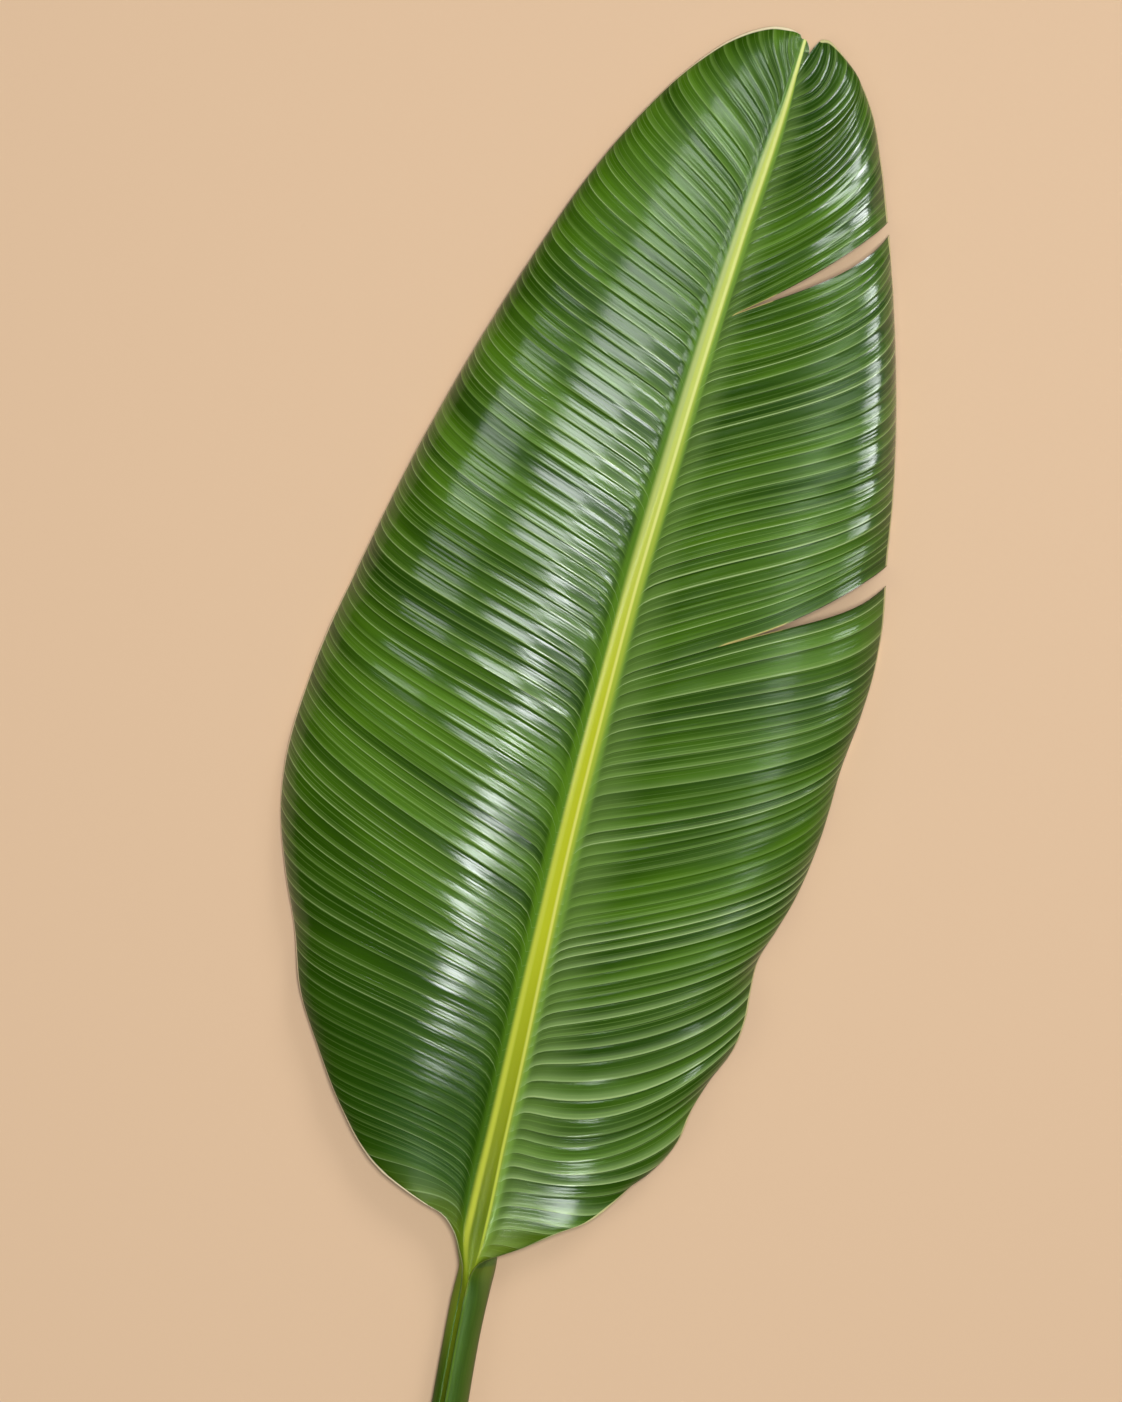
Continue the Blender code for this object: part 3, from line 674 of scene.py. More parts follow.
# %% Mesh
spots = np.array(points)
middle = (spots.min(axis=0) + spots.max(axis=0)) / 2
cad_leaf_low, cad_leaf_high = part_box("leaf")
spots[:, 0] += (cad_leaf_low[0] + cad_leaf_high[0]) / 2 / MM - middle[0]
spots[:, 1] += (cad_leaf_low[1] + cad_leaf_high[1]) / 2 / MM - middle[1]
data = bpy.data.meshes.new("leaf_skin")
data.from_pydata((spots * MM).tolist(), [], faces)
data.polygons.foreach_set("material_index", finish)
fact_names = ("vein_number", "vein_share", "across", "off_line", "gutter", "along", "stalk", "side", "torn",
              "round", "to_margin")
for name, column in zip(fact_names, np.array(point_facts).T):
    data.attributes.new(name, "FLOAT", "POINT").data.foreach_set("value", column.astype(np.float32))
SHARP_ANGLE = math.radians(55)
data.shade_smooth()
data.set_sharp_from_angle(angle=SHARP_ANGLE)
data.update()
leaf = bpy.data.objects.new("leaf_skin", data)
bpy.context.scene.collection.objects.link(leaf)
print("leaf_skin:", sum(len(p.vertices) - 2 for p in data.polygons), "triangles")

# %% [markdown]
# Materials are node graphs. One helper turns an sRGB hex colour into the linear values that a shader
# wants. The other adds a node, fills its sockets in the order they show in, or by name, and hands
# back an output to pass on to the next node.

# %% Node helpers
RAMP = {"interpolation_type": "SMOOTHSTEP"}
PAINT = {"data_type": "RGBA"}


def colour(hex_code):
    channels = [int(hex_code[i:i + 2], 16) / 255 for i in (1, 3, 5)]
    return tuple(c / 12.92 if c <= 0.04045 else ((c + 0.055) / 1.055) ** 2.4 for c in channels) + (1.0,)


def add_node(tree, kind, *values, named=None, output=None, **settings):
    """Adds a node with its settings, values and links; returns its first output, or the named one."""
    node = tree.nodes.new("ShaderNode" + kind)
    for name, value in settings.items():
        setattr(node, name, value)
    shown = [socket for socket in node.inputs if socket.enabled]
    pairs = list(zip(shown, values)) + [(node.inputs[name], value) for name, value in (named or {}).items()]
    for socket, value in pairs:
        if isinstance(value, bpy.types.NodeSocket):
            tree.links.new(value, socket)
        else:
            socket.default_value = value
    if output:
        return node.outputs[output]
    return next((socket for socket in node.outputs if socket.enabled), None)


def new_material(name):
    """An empty material, its node tree, and the facts that the mesh keeps for each point."""
    material = bpy.data.materials.new(name)
    material.use_nodes = True
    tree = material.node_tree
    tree.nodes.clear()
    facts = {fact: add_node(tree, "Attribute", output="Fac", attribute_name=fact) for fact in fact_names}
    return material, tree, facts


print("a leaf's deep green in linear light:", [round(channel, 3) for channel in colour("#2c4e00")[:3]])

# %% [markdown]
# The upper face is a living leaf's skin: a waxy cuticle over green tissue. Each strip between two
# veins is tilted like a roof tile, so it gets a painted sheen just above the lower vein and painted
# shade just under the upper one. So the first number needed is where a point lies between its two
# veins, from 0 to 1, and a lucky number for each strip, so that no two strips look the same.

# %% Upper face: place between two veins
upper_face, tree, facts = new_material("waxy upper face")
HALVES_APART = 61.7
number = add_node(tree, "Math", facts["side"], HALVES_APART, facts["vein_number"], operation="MULTIPLY_ADD")
part = add_node(tree, "Math", facts["vein_number"], operation="FRACT")
whole = add_node(tree, "Math", facts["vein_number"], operation="FLOOR")
whole = add_node(tree, "Math", facts["side"], HALVES_APART, whole, operation="MULTIPLY_ADD")
luck = add_node(tree, "TexWhiteNoise", whole, noise_dimensions="1D")
print("strips between veins are", VEIN_PITCH, "mm wide at the midrib")

# %% [markdown]
# Colour drifts slowly from strip to strip and has fine fibres along the veins. Noise stretched
# along the veins gives both: one tile of it is many millimetres long and part of a strip wide. A
# second lucky number makes about half of the strips darker, each by its own amount.

# %% Upper face: streaks along the veins
def streaks(tree, number, share, tile_strips, tiles_to_margin, detail, shift):
    """Noise whose tiles are so many strips wide and a part of the vein's length long."""
    across = add_node(tree, "Math", number, 1 / tile_strips, operation="MULTIPLY")
    along = add_node(tree, "Math", share, tiles_to_margin, operation="MULTIPLY")
    place = add_node(tree, "CombineXYZ", across, along, shift)
    return add_node(tree, "TexNoise", place, named={"Scale": 1.0, "Detail": detail, "Roughness": 0.6})


drift = streaks(tree, number, facts["vein_share"], 6.0, 1.1, 2.0, 3.1)
band = streaks(tree, number, facts["vein_share"], 1.3, 0.8, 2.0, 8.3)
fibre = streaks(tree, number, facts["vein_share"], 0.18, 1.4, 3.0, 1.7)
shade = add_node(tree, "MapRange", drift, 0.35, 0.68, **RAMP)
green = add_node(tree, "Mix", shade, colour("#2c4e00"), colour("#4c7610"), **PAINT)
shade = add_node(tree, "MapRange", band, 0.4, 0.72, 0.0, 0.45, **RAMP)
green = add_node(tree, "Mix", shade, green, colour("#5f8a26"), **PAINT)
shade = add_node(tree, "MapRange", fibre, 0.42, 0.75, 0.0, 0.35, **RAMP)
green = add_node(tree, "Mix", shade, green, colour("#1f3c02"), **PAINT)
on_right = add_node(tree, "MapRange", facts["side"], -0.5, 0.5, **RAMP)
other_luck = add_node(tree, "Math", whole, 317.0, operation="ADD")
other_luck = add_node(tree, "TexWhiteNoise", other_luck, noise_dimensions="1D")
shade = add_node(tree, "MapRange", other_luck, 0.45, 1.0, 0.0, 0.62)
green = add_node(tree, "Mix", shade, green, colour("#1b3a00"), **PAINT)
print("fibres are about", round(VEIN_PITCH * 0.18, 1), "mm wide")

# %% [markdown]
# The gutter beside the midrib is smoother and has its own tone: a shaded moss green on the left,
# a paler one on the right. It reads the distance from the midrib, counted in gutter widths. Three
# parts of the blade get painted light or shade: painted shade darkens the left half near the base
# and the right one at the tip's notch, and a painted sheen makes the blade just right of the midrib paler.

# %% Upper face: gutters, painted shade and painted sheen
gutter = add_node(tree, "MapRange", facts["gutter"], 0.82, 1.08, 1.0, 0.0, **RAMP)
off_gutter = add_node(tree, "MapRange", facts["gutter"], 0.85, 1.25, **RAMP)
# Painted shade over the left half near the base.
left_base_shade = add_node(tree, "MapRange", facts["along"], 60.0, 180.0, 0.75, 0.0, **RAMP)
on_left = add_node(tree, "Math", 1.0, on_right, operation="SUBTRACT")
left_base_shade = add_node(tree, "Math", left_base_shade, on_left, operation="MULTIPLY")
green = add_node(tree, "Mix", left_base_shade, green, colour("#254a00"), **PAINT)
# Painted shade over the right half by the tip's notch.
notch_shade = add_node(tree, "MapRange", facts["along"], 555.0, 605.0, 0.0, 0.7, **RAMP)
notch_shade = add_node(tree, "Math", notch_shade, on_right, operation="MULTIPLY")
green = add_node(tree, "Mix", notch_shade, green, colour("#1f4204"), **PAINT)
# Painted sheen on the blade just right of the midrib.
beside = add_node(tree, "MapRange", facts["gutter"], 1.2, 3.6, 0.34, 0.0, **RAMP)
beside = add_node(tree, "Math", beside, on_right, operation="MULTIPLY")
green = add_node(tree, "Mix", beside, green, colour("#86a65a"), **PAINT)
gutter_green = add_node(tree, "Mix", on_right, colour("#568018"), colour("#749a3a"), **PAINT)
gutter_mix = add_node(tree, "Math", gutter, 0.85, operation="MULTIPLY")
green = add_node(tree, "Mix", gutter_mix, green, gutter_green, **PAINT)
print("gutters end", PALE_STRIP[4][4], "and", PALE_STRIP[4][5], "mm from the midrib's middle near the base")

# %% [markdown]
# Now the painted light and shade of each tilted strip, in ramps over the place between two veins:
# a slow painted shade over the whole strip, a painted sheen above the lower vein, and a short
# painted shade under the upper vein, as strong as the strip's lucky number says. In the right half
# a painted sheen grows broader and paler towards the base, where the strips are most tilted.

# %% Upper face: painted light and shade of each strip
# Painted shade that deepens slowly across each strip towards the upper vein.
slope_shade_end = add_node(tree, "MapRange", on_right, 0.0, 1.0, 0.24, 0.38)
slope_shade = add_node(tree, "MapRange", part, 0.15, 0.95, 0.0, slope_shade_end)
slope_shade = add_node(tree, "Math", slope_shade, off_gutter, operation="MULTIPLY")
green = add_node(tree, "Mix", slope_shade, green, colour("#21400a"), **PAINT)
# Painted sheen just above the lower vein.
light = add_node(tree, "MapRange", part, 0.02, 0.34, 0.34, 0.0, **RAMP)
light = add_node(tree, "Math", light, off_gutter, operation="MULTIPLY")
green = add_node(tree, "Mix", light, green, colour("#7da24a"), **PAINT)
# Painted sheen, broad and pale, in the right half towards the base.
sheen_low_right = add_node(tree, "MapRange", facts["along"], 80.0, 340.0, 0.62, 0.0, **RAMP)
sheen_low_right = add_node(tree, "Math", sheen_low_right, on_right, operation="MULTIPLY")
uneven = add_node(tree, "MapRange", part, 0.05, 0.62, luck, 0.0, **RAMP)
sheen_low_right = add_node(tree, "Math", sheen_low_right, uneven, operation="MULTIPLY")
green = add_node(tree, "Mix", sheen_low_right, green, colour("#92b070"), **PAINT)
# Painted shade in a short dark band under the upper vein.
shade_under_vein = add_node(tree, "MapRange", part, 0.78, 0.97, **RAMP)
strength = add_node(tree, "MapRange", luck, 0.2, 1.0, 0.05, 0.75)
by_side = add_node(tree, "MapRange", on_right, 0.0, 1.0, 0.4, 1.0)
strength = add_node(tree, "Math", strength, by_side, operation="MULTIPLY")
shade_under_vein = add_node(tree, "Math", shade_under_vein, strength, operation="MULTIPLY")
shade_under_vein = add_node(tree, "Math", shade_under_vein, off_gutter, operation="MULTIPLY")
green = add_node(tree, "Mix", shade_under_vein, green, colour("#152c00"), **PAINT)
print("the dark line under a vein is about", round(VEIN_PITCH * (1 - 0.78), 1), "mm wide")

# %% [markdown]
# Minor veins divide each strip in three. They waver a little, which the fibres' noise gives, and
# each is as pale as its own lucky number says.

# %% Upper face: minor veins
MINOR_VEINS = 3.0
wavering = add_node(tree, "Math", fibre, 0.12, number, operation="MULTIPLY_ADD")
minor_number = add_node(tree, "Math", wavering, MINOR_VEINS, operation="MULTIPLY")
minor_part = add_node(tree, "Math", minor_number, operation="FRACT")
minor_whole = add_node(tree, "Math", minor_number, operation="FLOOR")
minor_luck = add_node(tree, "TexWhiteNoise", minor_whole, noise_dimensions="1D")
far_side = add_node(tree, "Math", 1.0, minor_part, operation="SUBTRACT")
from_minor = add_node(tree, "Math", minor_part, far_side, operation="MINIMUM")
minor_line = add_node(tree, "MapRange", from_minor, 0.04, 0.16, 1.0, 0.0, **RAMP)
strength = add_node(tree, "MapRange", minor_luck, 0.3, 1.0, 0.0, 0.36)
minor_line = add_node(tree, "Math", minor_line, strength, operation="MULTIPLY")
minor_line = add_node(tree, "Math", minor_line, off_gutter, operation="MULTIPLY")
green = add_node(tree, "Mix", minor_line, green, colour("#86aa54"), **PAINT)
print("minor veins are", round(VEIN_PITCH / MINOR_VEINS, 1), "mm apart")

# %% [markdown]
# The main veins are thin pale lines on the crests of the ribs: sharp on the side of the base, soft
# on the side of the tip. They go on faintly down the gutter wall, where they hook into the midrib,
# and fade towards the tip of the leaf. The painted shade by the left base is laid once more over them.

# %% Upper face: main veins
soft_end = add_node(tree, "MapRange", on_right, 0.0, 1.0, 0.075, 0.13)
soft_side = add_node(tree, "MapRange", part, 0.015, soft_end, 1.0, 0.0, **RAMP)
sharp_side = add_node(tree, "MapRange", part, 0.965, 0.99, 0.0, 1.0, **RAMP)
line = add_node(tree, "Math", soft_side, sharp_side, operation="ADD")
strength = add_node(tree, "MapRange", luck, 0.35, 1.0, 0.07, 0.95)
by_side = add_node(tree, "MapRange", on_right, 0.0, 1.0, 0.8, 1.0)
strength = add_node(tree, "Math", strength, by_side, operation="MULTIPLY")
at_tip = add_node(tree, "MapRange", facts["along"], 510.0, 590.0, 1.0, 0.35, **RAMP)
strength = add_node(tree, "Math", strength, at_tip, operation="MULTIPLY")
line = add_node(tree, "Math", line, strength, operation="MULTIPLY")
in_gutter = add_node(tree, "MapRange", facts["gutter"], 0.75, 1.3, 0.35, 1.0, **RAMP)
line = add_node(tree, "Math", line, in_gutter, operation="MULTIPLY")
green = add_node(tree, "Mix", line, green, colour("#a9c380"), **PAINT)
# Painted shade by the left base, again over the veins.
in_shade = add_node(tree, "Math", left_base_shade, 0.6, operation="MULTIPLY")
green = add_node(tree, "Mix", in_shade, green, colour("#1d3e00"), **PAINT)
print("main veins are up to", round(VEIN_PITCH * 0.13, 1), "mm wide")

# %% [markdown]
# The midrib's strip is waxy yellow. Near the base its middle is olive between two bright soft
# edges, partly its own colour and partly painted shade in the channel and painted light on its rims;
# further on it is yellow all over, and one pale line runs right of its middle all the way.
# The place across it is counted in half widths, so its edges are at 1 however narrow it gets.

# %% Upper face: midrib strip
# Olive with painted shade near the base, fading to yellow further on.
olive_and_shade_fade = add_node(tree, "MapRange", facts["along"], 15.0, 170.0)
far = add_node(tree, "MapRange", facts["along"], 260.0, 450.0, **RAMP)
strip = add_node(tree, "Mix", olive_and_shade_fade, colour("#5a7000"), colour("#b4bc24"), **PAINT)
strip = add_node(tree, "Mix", far, strip, colour("#bac65c"), **PAINT)
edge = add_node(tree, "Mix", far, colour("#bcc440"), colour("#b0c070"), **PAINT)
# Painted light on the channel's left rim, partly the strip's own pale edge.
left_edge = add_node(tree, "MapRange", facts["across"], -0.3, -0.62, 0.0, 0.95, **RAMP)
strip = add_node(tree, "Mix", left_edge, strip, edge, **PAINT)
# Greener right of the pale line, partly the strip's own colour and partly painted shade.
right_edge = add_node(tree, "MapRange", facts["off_line"], 0.3, 1.4, 0.0, 0.8, **RAMP)
strip = add_node(tree, "Mix", right_edge, strip, colour("#9cb23e"), **PAINT)
pale_tone = add_node(tree, "Mix", olive_and_shade_fade, colour("#bcc83e"), colour("#d8da6a"), **PAINT)
pale_tone = add_node(tree, "Mix", far, pale_tone, colour("#dbe28a"), **PAINT)
off_line = add_node(tree, "Math", facts["off_line"], operation="ABSOLUTE")
pale_line = add_node(tree, "MapRange", off_line, 0.25, 1.1, 0.95, 0.0, **RAMP)
strip = add_node(tree, "Mix", pale_line, strip, pale_tone, **PAINT)
from_middle = add_node(tree, "Math", facts["across"], operation="ABSOLUTE")
in_strip = add_node(tree, "MapRange", from_middle, 0.74, 1.26, 1.0, 0.0, **RAMP)
skin = add_node(tree, "Mix", in_strip, green, strip, **PAINT)
print("the pale strip is", 2 * PALE_STRIP[3][2], "mm wide near the base")

# %% [markdown]
# In the petiole's groove the yellow runs out into dark green. Then the two kinds of edge: the dry
# cream margin, about two millimetres wide and half that as seen from above, where the blade is
# steep, and the torn edges, dried to straw where the tear is still shut, and dark where it gapes,
# partly dried and partly a painted shadow along the gap.

# %% Upper face: groove, margin and tears
groove_tone = add_node(tree, "MapRange", facts["along"], -110.0, -20.0, **RAMP)
groove_green = add_node(tree, "Mix", groove_tone, colour("#2f4b06"), colour("#768a18"), **PAINT)
groove = add_node(tree, "Math", facts["stalk"], 0.9, operation="MULTIPLY")
skin = add_node(tree, "Mix", groove, skin, groove_green, **PAINT)
off_stalk = add_node(tree, "MapRange", facts["stalk"], 0.3, 1.0, 1.0, 0.15)
margin = add_node(tree, "MapRange", facts["to_margin"], 1.4, 2.3, 0.95, 0.0, **RAMP)
margin = add_node(tree, "Math", margin, off_stalk, operation="MULTIPLY")
margin_tone = add_node(tree, "Mix", on_right, colour("#fdf2cc"), colour("#d9d79a"), **PAINT)
skin = add_node(tree, "Mix", margin, skin, margin_tone, **PAINT)
torn = add_node(tree, "Math", facts["torn"], operation="ABSOLUTE")
torn = add_node(tree, "MapRange", torn, 0.3, 0.8, 0.0, 0.9, **RAMP)
# Where the tear gapes, the dark tone is partly the dried edge and partly a painted shadow.
closed = add_node(tree, "MapRange", facts["torn"], -0.1, 0.1)
torn_tone = add_node(tree, "Mix", closed, colour("#2c2b10"), colour("#cbbc72"), **PAINT)
skin = add_node(tree, "Mix", torn, skin, torn_tone, **PAINT)
print("colours of the upper face:", len(tree.nodes), "nodes")

# %% [markdown]
# Relief too fine for the mesh goes into a bump: the fibres, the minor veins and a faint orange
# peel of pores. The wax has an index of about 1.45. Under a thin clear coat that gives the glints
# lies a duller skin. The coat is thickest on the crests of the left half and along the right margin
# above the lower tear, and it is worn thin in the gutters, on the yellow strip, near the left base
# and on the inner part of the right half. That keeps the sheen in soft patches.

# %% Upper face: relief and gloss
PORE_MM = 0.7
object_place = add_node(tree, "TexCoord", output="Object")
pores = add_node(tree, "TexNoise", object_place, named={"Scale": 1 / (PORE_MM * MM), "Detail": 2.0})
minor_rise = add_node(tree, "MapRange", minor_part, 0.0, 0.8, 1.0, 0.0, **RAMP)
minor_drop = add_node(tree, "MapRange", minor_part, 0.8, 1.0, 1.0, 2.0, **RAMP)
minor_rib = add_node(tree, "Math", minor_rise, minor_drop, operation="MULTIPLY")
height = add_node(tree, "Math", minor_rib, 0.5, fibre, operation="MULTIPLY_ADD")
height = add_node(tree, "Math", height, off_gutter, operation="MULTIPLY")
height = add_node(tree, "Math", pores, 0.1, height, operation="MULTIPLY_ADD")
bump = add_node(tree, "Bump", named={"Strength": 0.35, "Distance": 0.5 * MM, "Height": height})
roughness = add_node(tree, "MapRange", fibre, 0.3, 0.7, 0.36, 0.5)
coat = add_node(tree, "MapRange", facts["gutter"], 1.0, 1.9, 0.2, 0.75, **RAMP)
margin_coat = add_node(tree, "MapRange", facts["along"], 310.0, 390.0, 0.4, 1.3, **RAMP)
right_coat = add_node(tree, "MapRange", facts["along"], 450.0, 540.0, 0.08, 1.3, **RAMP)
base_coat = add_node(tree, "MapRange", facts["along"], 50.0, 110.0, 0.4, 0.0, **RAMP)
right_coat = add_node(tree, "Math", right_coat, base_coat, operation="ADD")
right_coat = add_node(tree, "MapRange", facts["vein_share"], 0.68, 0.84, right_coat, margin_coat)
left_coat = add_node(tree, "MapRange", facts["along"], 50.0, 140.0, 0.03, 1.0, **RAMP)
tip_coat = add_node(tree, "MapRange", facts["along"], 370.0, 500.0, 1.0, 0.35, **RAMP)
left_coat = add_node(tree, "Math", left_coat, tip_coat, operation="MULTIPLY")
coat_by_side = add_node(tree, "Mix", on_right, left_coat, right_coat)
coat = add_node(tree, "Math", coat, coat_by_side, operation="MULTIPLY")
coat_on_strip = add_node(tree, "MapRange", in_strip, 0.0, 1.0, 1.0, 0.25)
coat = add_node(tree, "Math", coat, coat_on_strip, operation="MULTIPLY")
shader = add_node(tree, "BsdfPrincipled", named={
    "Base Color": skin, "Roughness": roughness, "Normal": bump, "IOR": 1.45, "Specular IOR Level": 0.06,
    "Coat Weight": coat, "Coat Roughness": 0.15, "Coat IOR": 1.45, "Coat Normal": bump})
add_node(tree, "OutputMaterial", named={"Surface": shader})
print("whole upper face:", len(tree.nodes), "nodes")

# %% [markdown]
# The underside is paler and duller, because the wax there is a thin bloom. The stalk's outside is
# the same skin drawn tight over the keel: deep green with faint lines along it, yellower at its
# left shoulder under the blade, and greyer and browner along its right flank. The place round the
# stalk runs from -1 at the groove's left lip under the stalk to 1 at the right lip.

# %% Underside and stalk
lower_face, tree, facts = new_material("matt underside and stalk")
fibre = streaks(tree, facts["vein_number"], facts["vein_share"], 0.18, 5.0, 3.0, 4.7)
shade = add_node(tree, "MapRange", fibre, 0.35, 0.7, **RAMP)
under = add_node(tree, "Mix", shade, colour("#5c8040"), colour("#7c9c5c"), **PAINT)
from_middle = add_node(tree, "Math", facts["across"], operation="ABSOLUTE")
on_keel = add_node(tree, "MapRange", from_middle, 1.0, 1.15, 1.0, 0.0, **RAMP)
under = add_node(tree, "Mix", on_keel, under, colour("#9aa83e"), **PAINT)
lines = add_node(tree, "CombineXYZ", facts["round"], facts["along"], 0.0)
lines = add_node(tree, "VectorMath", lines, (40.0, 0.03, 1.0), operation="MULTIPLY")
lines = add_node(tree, "TexNoise", lines, named={"Scale": 1.0, "Detail": 3.0})
shade = add_node(tree, "MapRange", lines, 0.35, 0.7, **RAMP)
stalk = add_node(tree, "Mix", shade, colour("#2f4e04"), colour("#3c5c0c"), **PAINT)
right_flank = add_node(tree, "MapRange", facts["round"], 0.86, 0.5, **RAMP)
right_side = add_node(tree, "MapRange", facts["round"], 0.0, 0.2, 0.0, 0.85)
right_flank = add_node(tree, "Math", right_flank, right_side, operation="MULTIPLY")
stalk = add_node(tree, "Mix", right_flank, stalk, colour("#5f6f30"), **PAINT)
# Greyer and browner along the right flank.
grey_brown_flank = add_node(tree, "MapRange", facts["round"], 0.52, 0.4, **RAMP)
grey_brown_flank = add_node(tree, "Math", grey_brown_flank, right_side, operation="MULTIPLY")
stalk = add_node(tree, "Mix", grey_brown_flank, stalk, colour("#74724c"), **PAINT)
shoulder = add_node(tree, "MapRange", facts["round"], -0.6, -0.75, **RAMP)
near_blade = add_node(tree, "MapRange", facts["along"], -70.0, -20.0, 0.0, 0.8, **RAMP)
shoulder = add_node(tree, "Math", shoulder, near_blade, operation="MULTIPLY")
stalk = add_node(tree, "Mix", shoulder, stalk, colour("#6f8420"), **PAINT)
lip = add_node(tree, "MapRange", facts["round"], 0.955, 0.99, 0.0, 0.6, **RAMP)
stalk = add_node(tree, "Mix", lip, stalk, colour("#64851f"), **PAINT)
skin = add_node(tree, "Mix", facts["stalk"], under, stalk, **PAINT)
bump = add_node(tree, "Bump", named={"Strength": 0.25, "Distance": 0.5 * MM, "Height": fibre})
shader = add_node(tree, "BsdfPrincipled", named={
    "Base Color": skin, "Roughness": 0.5, "Normal": bump, "IOR": 1.45, "Specular IOR Level": 0.1,
    "Coat Weight": 0.03, "Coat Roughness": 0.3})
add_node(tree, "OutputMaterial", named={"Surface": shader})
print("underside and stalk:", len(tree.nodes), "nodes")

# %% [markdown]
# The cut end shows the stalk's inside: pale spongy tissue with darker air channels about a
# millimetre apart. Cells of a Voronoi pattern have that look.

# %% Cut end
CHANNEL_MM = 1.1
cut_end, tree, facts = new_material("cut stalk fibres")
object_place = add_node(tree, "TexCoord", output="Object")
cells = add_node(tree, "TexVoronoi", object_place, named={"Scale": 1 / (CHANNEL_MM * MM)})
shade = add_node(tree, "MapRange", cells, 0.1, 0.5, **RAMP)
cut_tone = add_node(tree, "Mix", shade, colour("#8f9a55"), colour("#c9c98c"), **PAINT)
bump = add_node(tree, "Bump", named={"Strength": 0.4, "Distance": 0.4 * MM, "Height": cells})
shader = add_node(tree, "BsdfPrincipled", named={
    "Base Color": cut_tone, "Roughness": 0.6, "Normal": bump, "IOR": 1.4})
add_node(tree, "OutputMaterial", named={"Surface": shader})
print("cut end: channels", CHANNEL_MM, "mm apart")

# %% [markdown]
# The rim between the two faces is the dry margin itself, 0.6 mm thick: cream where the leaf grew to
# its edge, darker where it tore.

# %% Rim
rim, tree, facts = new_material("dry cream margin")
torn = add_node(tree, "Math", facts["torn"], operation="ABSOLUTE")
torn = add_node(tree, "MapRange", torn, 0.3, 0.8, **RAMP)
rim_tone = add_node(tree, "Mix", torn, colour("#efe6b8"), colour("#4a4018"), **PAINT)
rim_tone = add_node(tree, "Mix", facts["stalk"], rim_tone, colour("#3f6208"), **PAINT)
shader = add_node(tree, "BsdfPrincipled", named={"Base Color": rim_tone, "Roughness": 0.6, "IOR": 1.45})
add_node(tree, "OutputMaterial", named={"Surface": shader})
print("rim:", BLADE_THICK, "mm thick")

# %% [markdown]
# The four finishes go on in the order of the faces' numbers. The leaf has no joint, so the skin
# rides on the root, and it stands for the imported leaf, which is hidden.

# %% Dress the leaf
for material in (upper_face, lower_face, cut_end, rim):
    data.materials.append(material)
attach(leaf, "root")
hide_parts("leaf")
print("finishes:", [material.name for material in data.materials])

# %% [markdown]
# A plain pale matt floor, far wider than the view, a hair's breadth under the leaf so that the two
# never share a plane.

# %% Floor
floor_data = bpy.data.meshes.new("floor")
REACH = 6.0
floor_data.from_pydata([(-REACH, -REACH, 0), (REACH, -REACH, 0), (REACH, REACH, 0), (-REACH, REACH, 0)],
                       [], [(0, 1, 2, 3)])
floor = bpy.data.objects.new("floor", floor_data)
bpy.context.scene.collection.objects.link(floor)
FLOOR_GAP = 0.2
floor.location.z = -FLOOR_GAP * MM
floor_paint, tree, facts = new_material("pale matt floor")
shader = add_node(tree, "BsdfPrincipled", named={
    "Base Color": colour("#e0c09f"), "Roughness": 0.9, "Specular IOR Level": 0.1})
add_node(tree, "OutputMaterial", named={"Surface": shader})
floor_data.materials.append(floor_paint)
floor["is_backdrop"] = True
print("floor:", 2 * REACH, "m wide")

# %% [markdown]
# The light is a soft studio's. Where a box's reflection lands depends on how it leans and which way,
# so each is placed by these two angles over the spot of the leaf that it is meant for. The way is
# read in the picture, and so the camera's turn is added.

# %% Soft light helper
CAMERA_TURN = math.radians(15.4)


def soft_light(name, lean, way, distance, size, power, tint, target, shines):
    """An area light over target (sideways, along, in metres) that leans by lean towards way in the picture.

    It either shines, so that it only shows as a reflection, or only lights.
    """
    light = bpy.data.lights.new(name, "AREA")
    light.shape = "RECTANGLE"
    light.size, light.size_y = size
    light.energy = power
    light.color = tint
    holder = bpy.data.objects.new(name, light)
    lean = math.radians(lean)
    way = math.radians(way) + CAMERA_TURN
    aim = np.array([math.sin(lean) * math.cos(way), math.sin(lean) * math.sin(way), math.cos(lean)])
    holder.location = np.array([target[0], target[1], 0.0]) + aim * distance
    holder.rotation_euler = (0.0, lean, way)
    holder.visible_camera = False
    holder.visible_glossy = shines
    holder.visible_diffuse = not shines
    bpy.context.scene.collection.objects.link(holder)


print("the camera is turned by", round(math.degrees(CAMERA_TURN), 1), "degrees")

# %% [markdown]
# The boxes come in two sets. Six of them only show as reflections. The first draws the broken band
# of sheen on the left crest, and the others give the sheen beside the upper midrib, along the right
# margin, right of the midrib by the upper tear, at the tip and by the right base. Three broad boxes
# and the sky only lighten: a strong one nearly overhead, so that light falls through the tears, and
# two weak ones that shade the ribs. They are left out of the reflections, so the dark green stays
# deep.

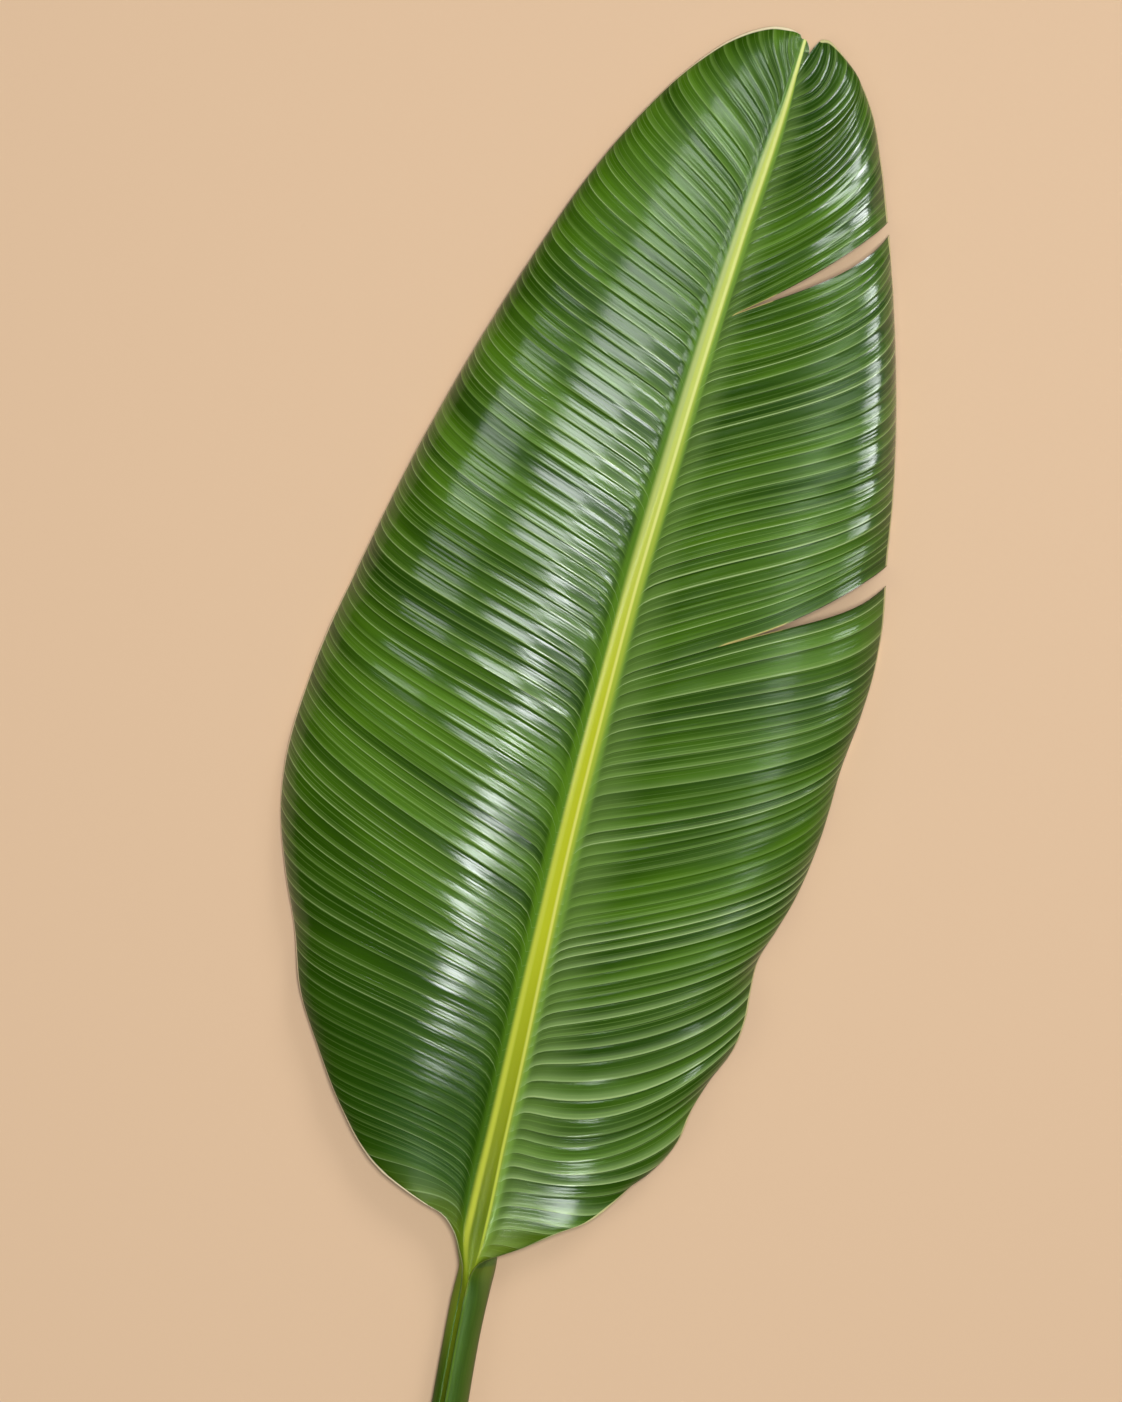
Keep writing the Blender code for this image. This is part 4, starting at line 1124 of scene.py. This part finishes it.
# %% Lights
COOL = (0.94, 0.97, 1.0)
WARM = (1.0, 0.99, 0.97)
soft_light("left_crest", 23.0, 2.0, 0.8, (0.15, 0.24), 4.4, COOL, (-0.015, 0.06), True)
soft_light("beside_midrib", 54.0, 12.0, 1.2, (0.6, 0.26), 1.6, COOL, (0.0, 0.26), True)
soft_light("right_margin", 56.0, 5.0, 0.6, (0.36, 0.18), 7.5, COOL, (0.095, 0.29), True)
soft_light("beside_upper_tear", 33.0, 157.0, 0.5, (0.2, 0.13), 0.6, COOL, (0.03, 0.26), True)
soft_light("tip", 16.0, 50.0, 0.6, (0.36, 0.26), 5.2, COOL, (0.08, 0.35), True)
soft_light("right_of_base", 21.0, -135.0, 0.25, (0.08, 0.06), 0.6, COOL, (0.057, -0.165), True)
soft_light("key", 4.0, 30.0, 3.2, (0.5, 0.5), 68.0, WARM, (0.0, 0.0), False)
soft_light("from_tip", 48.0, 50.0, 3.2, (1.2, 1.2), 22.0, WARM, (0.0, 0.0), False)
soft_light("fill_left", 45.0, 205.0, 3.2, (1.5, 1.5), 7.0, WARM, (0.0, 0.0), False)
SKY_STRENGTH = 0.145
world = bpy.data.worlds.new("pale sky")
bpy.context.scene.world = world
world.use_nodes = True
sky = world.node_tree.nodes["Background"].inputs
sky["Color"].default_value = WARM + (1.0,)
sky["Strength"].default_value = SKY_STRENGTH
world.cycles_visibility.glossy = False
bpy.context.scene.view_settings.view_transform = "Standard"

# %% [markdown]
# The camera looks straight down. It is turned so that the leaf leans to the right as in the
# picture, and a long lens keeps the outline free of perspective. The petiole runs off the frame.

# %% Camera
FRAME_PIXELS = (1122, 1402)
MM_PER_PIXEL = 0.5
FRAME_CENTRE = (-29.65, 279.1)
OUTLINE_HEIGHT = 8.0
LENS = 180.0
SENSOR = 36.0
camera_data = bpy.data.cameras.new("camera")
camera_data.lens = LENS
camera_data.sensor_width = SENSOR
camera_data.sensor_fit = "AUTO"
camera_data.clip_end = 50.0
camera = bpy.data.objects.new("camera", camera_data)
bpy.context.scene.collection.objects.link(camera)
frame_height = FRAME_PIXELS[1] * MM_PER_PIXEL
camera.location = ((FRAME_CENTRE[0] - middle[0]) * MM, (FRAME_CENTRE[1] - middle[1]) * MM,
                   (frame_height * LENS / SENSOR + OUTLINE_HEIGHT) * MM)
camera.rotation_euler = (0.0, 0.0, CAMERA_TURN)
bpy.context.scene.camera = camera
print("camera", round(camera.location.z, 2), "m above the floor")

# %% [markdown]
# The skin may hardly be larger than the solid that it stands for, so both boxes go to a file where
# they can be compared. Then the scene is finished.

# %% Measure the dressed leaf's box and finish
low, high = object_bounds()
print("box of the dressed leaf:", [round((b - a) * 1000, 1) for a, b in zip(low, high)], "mm")
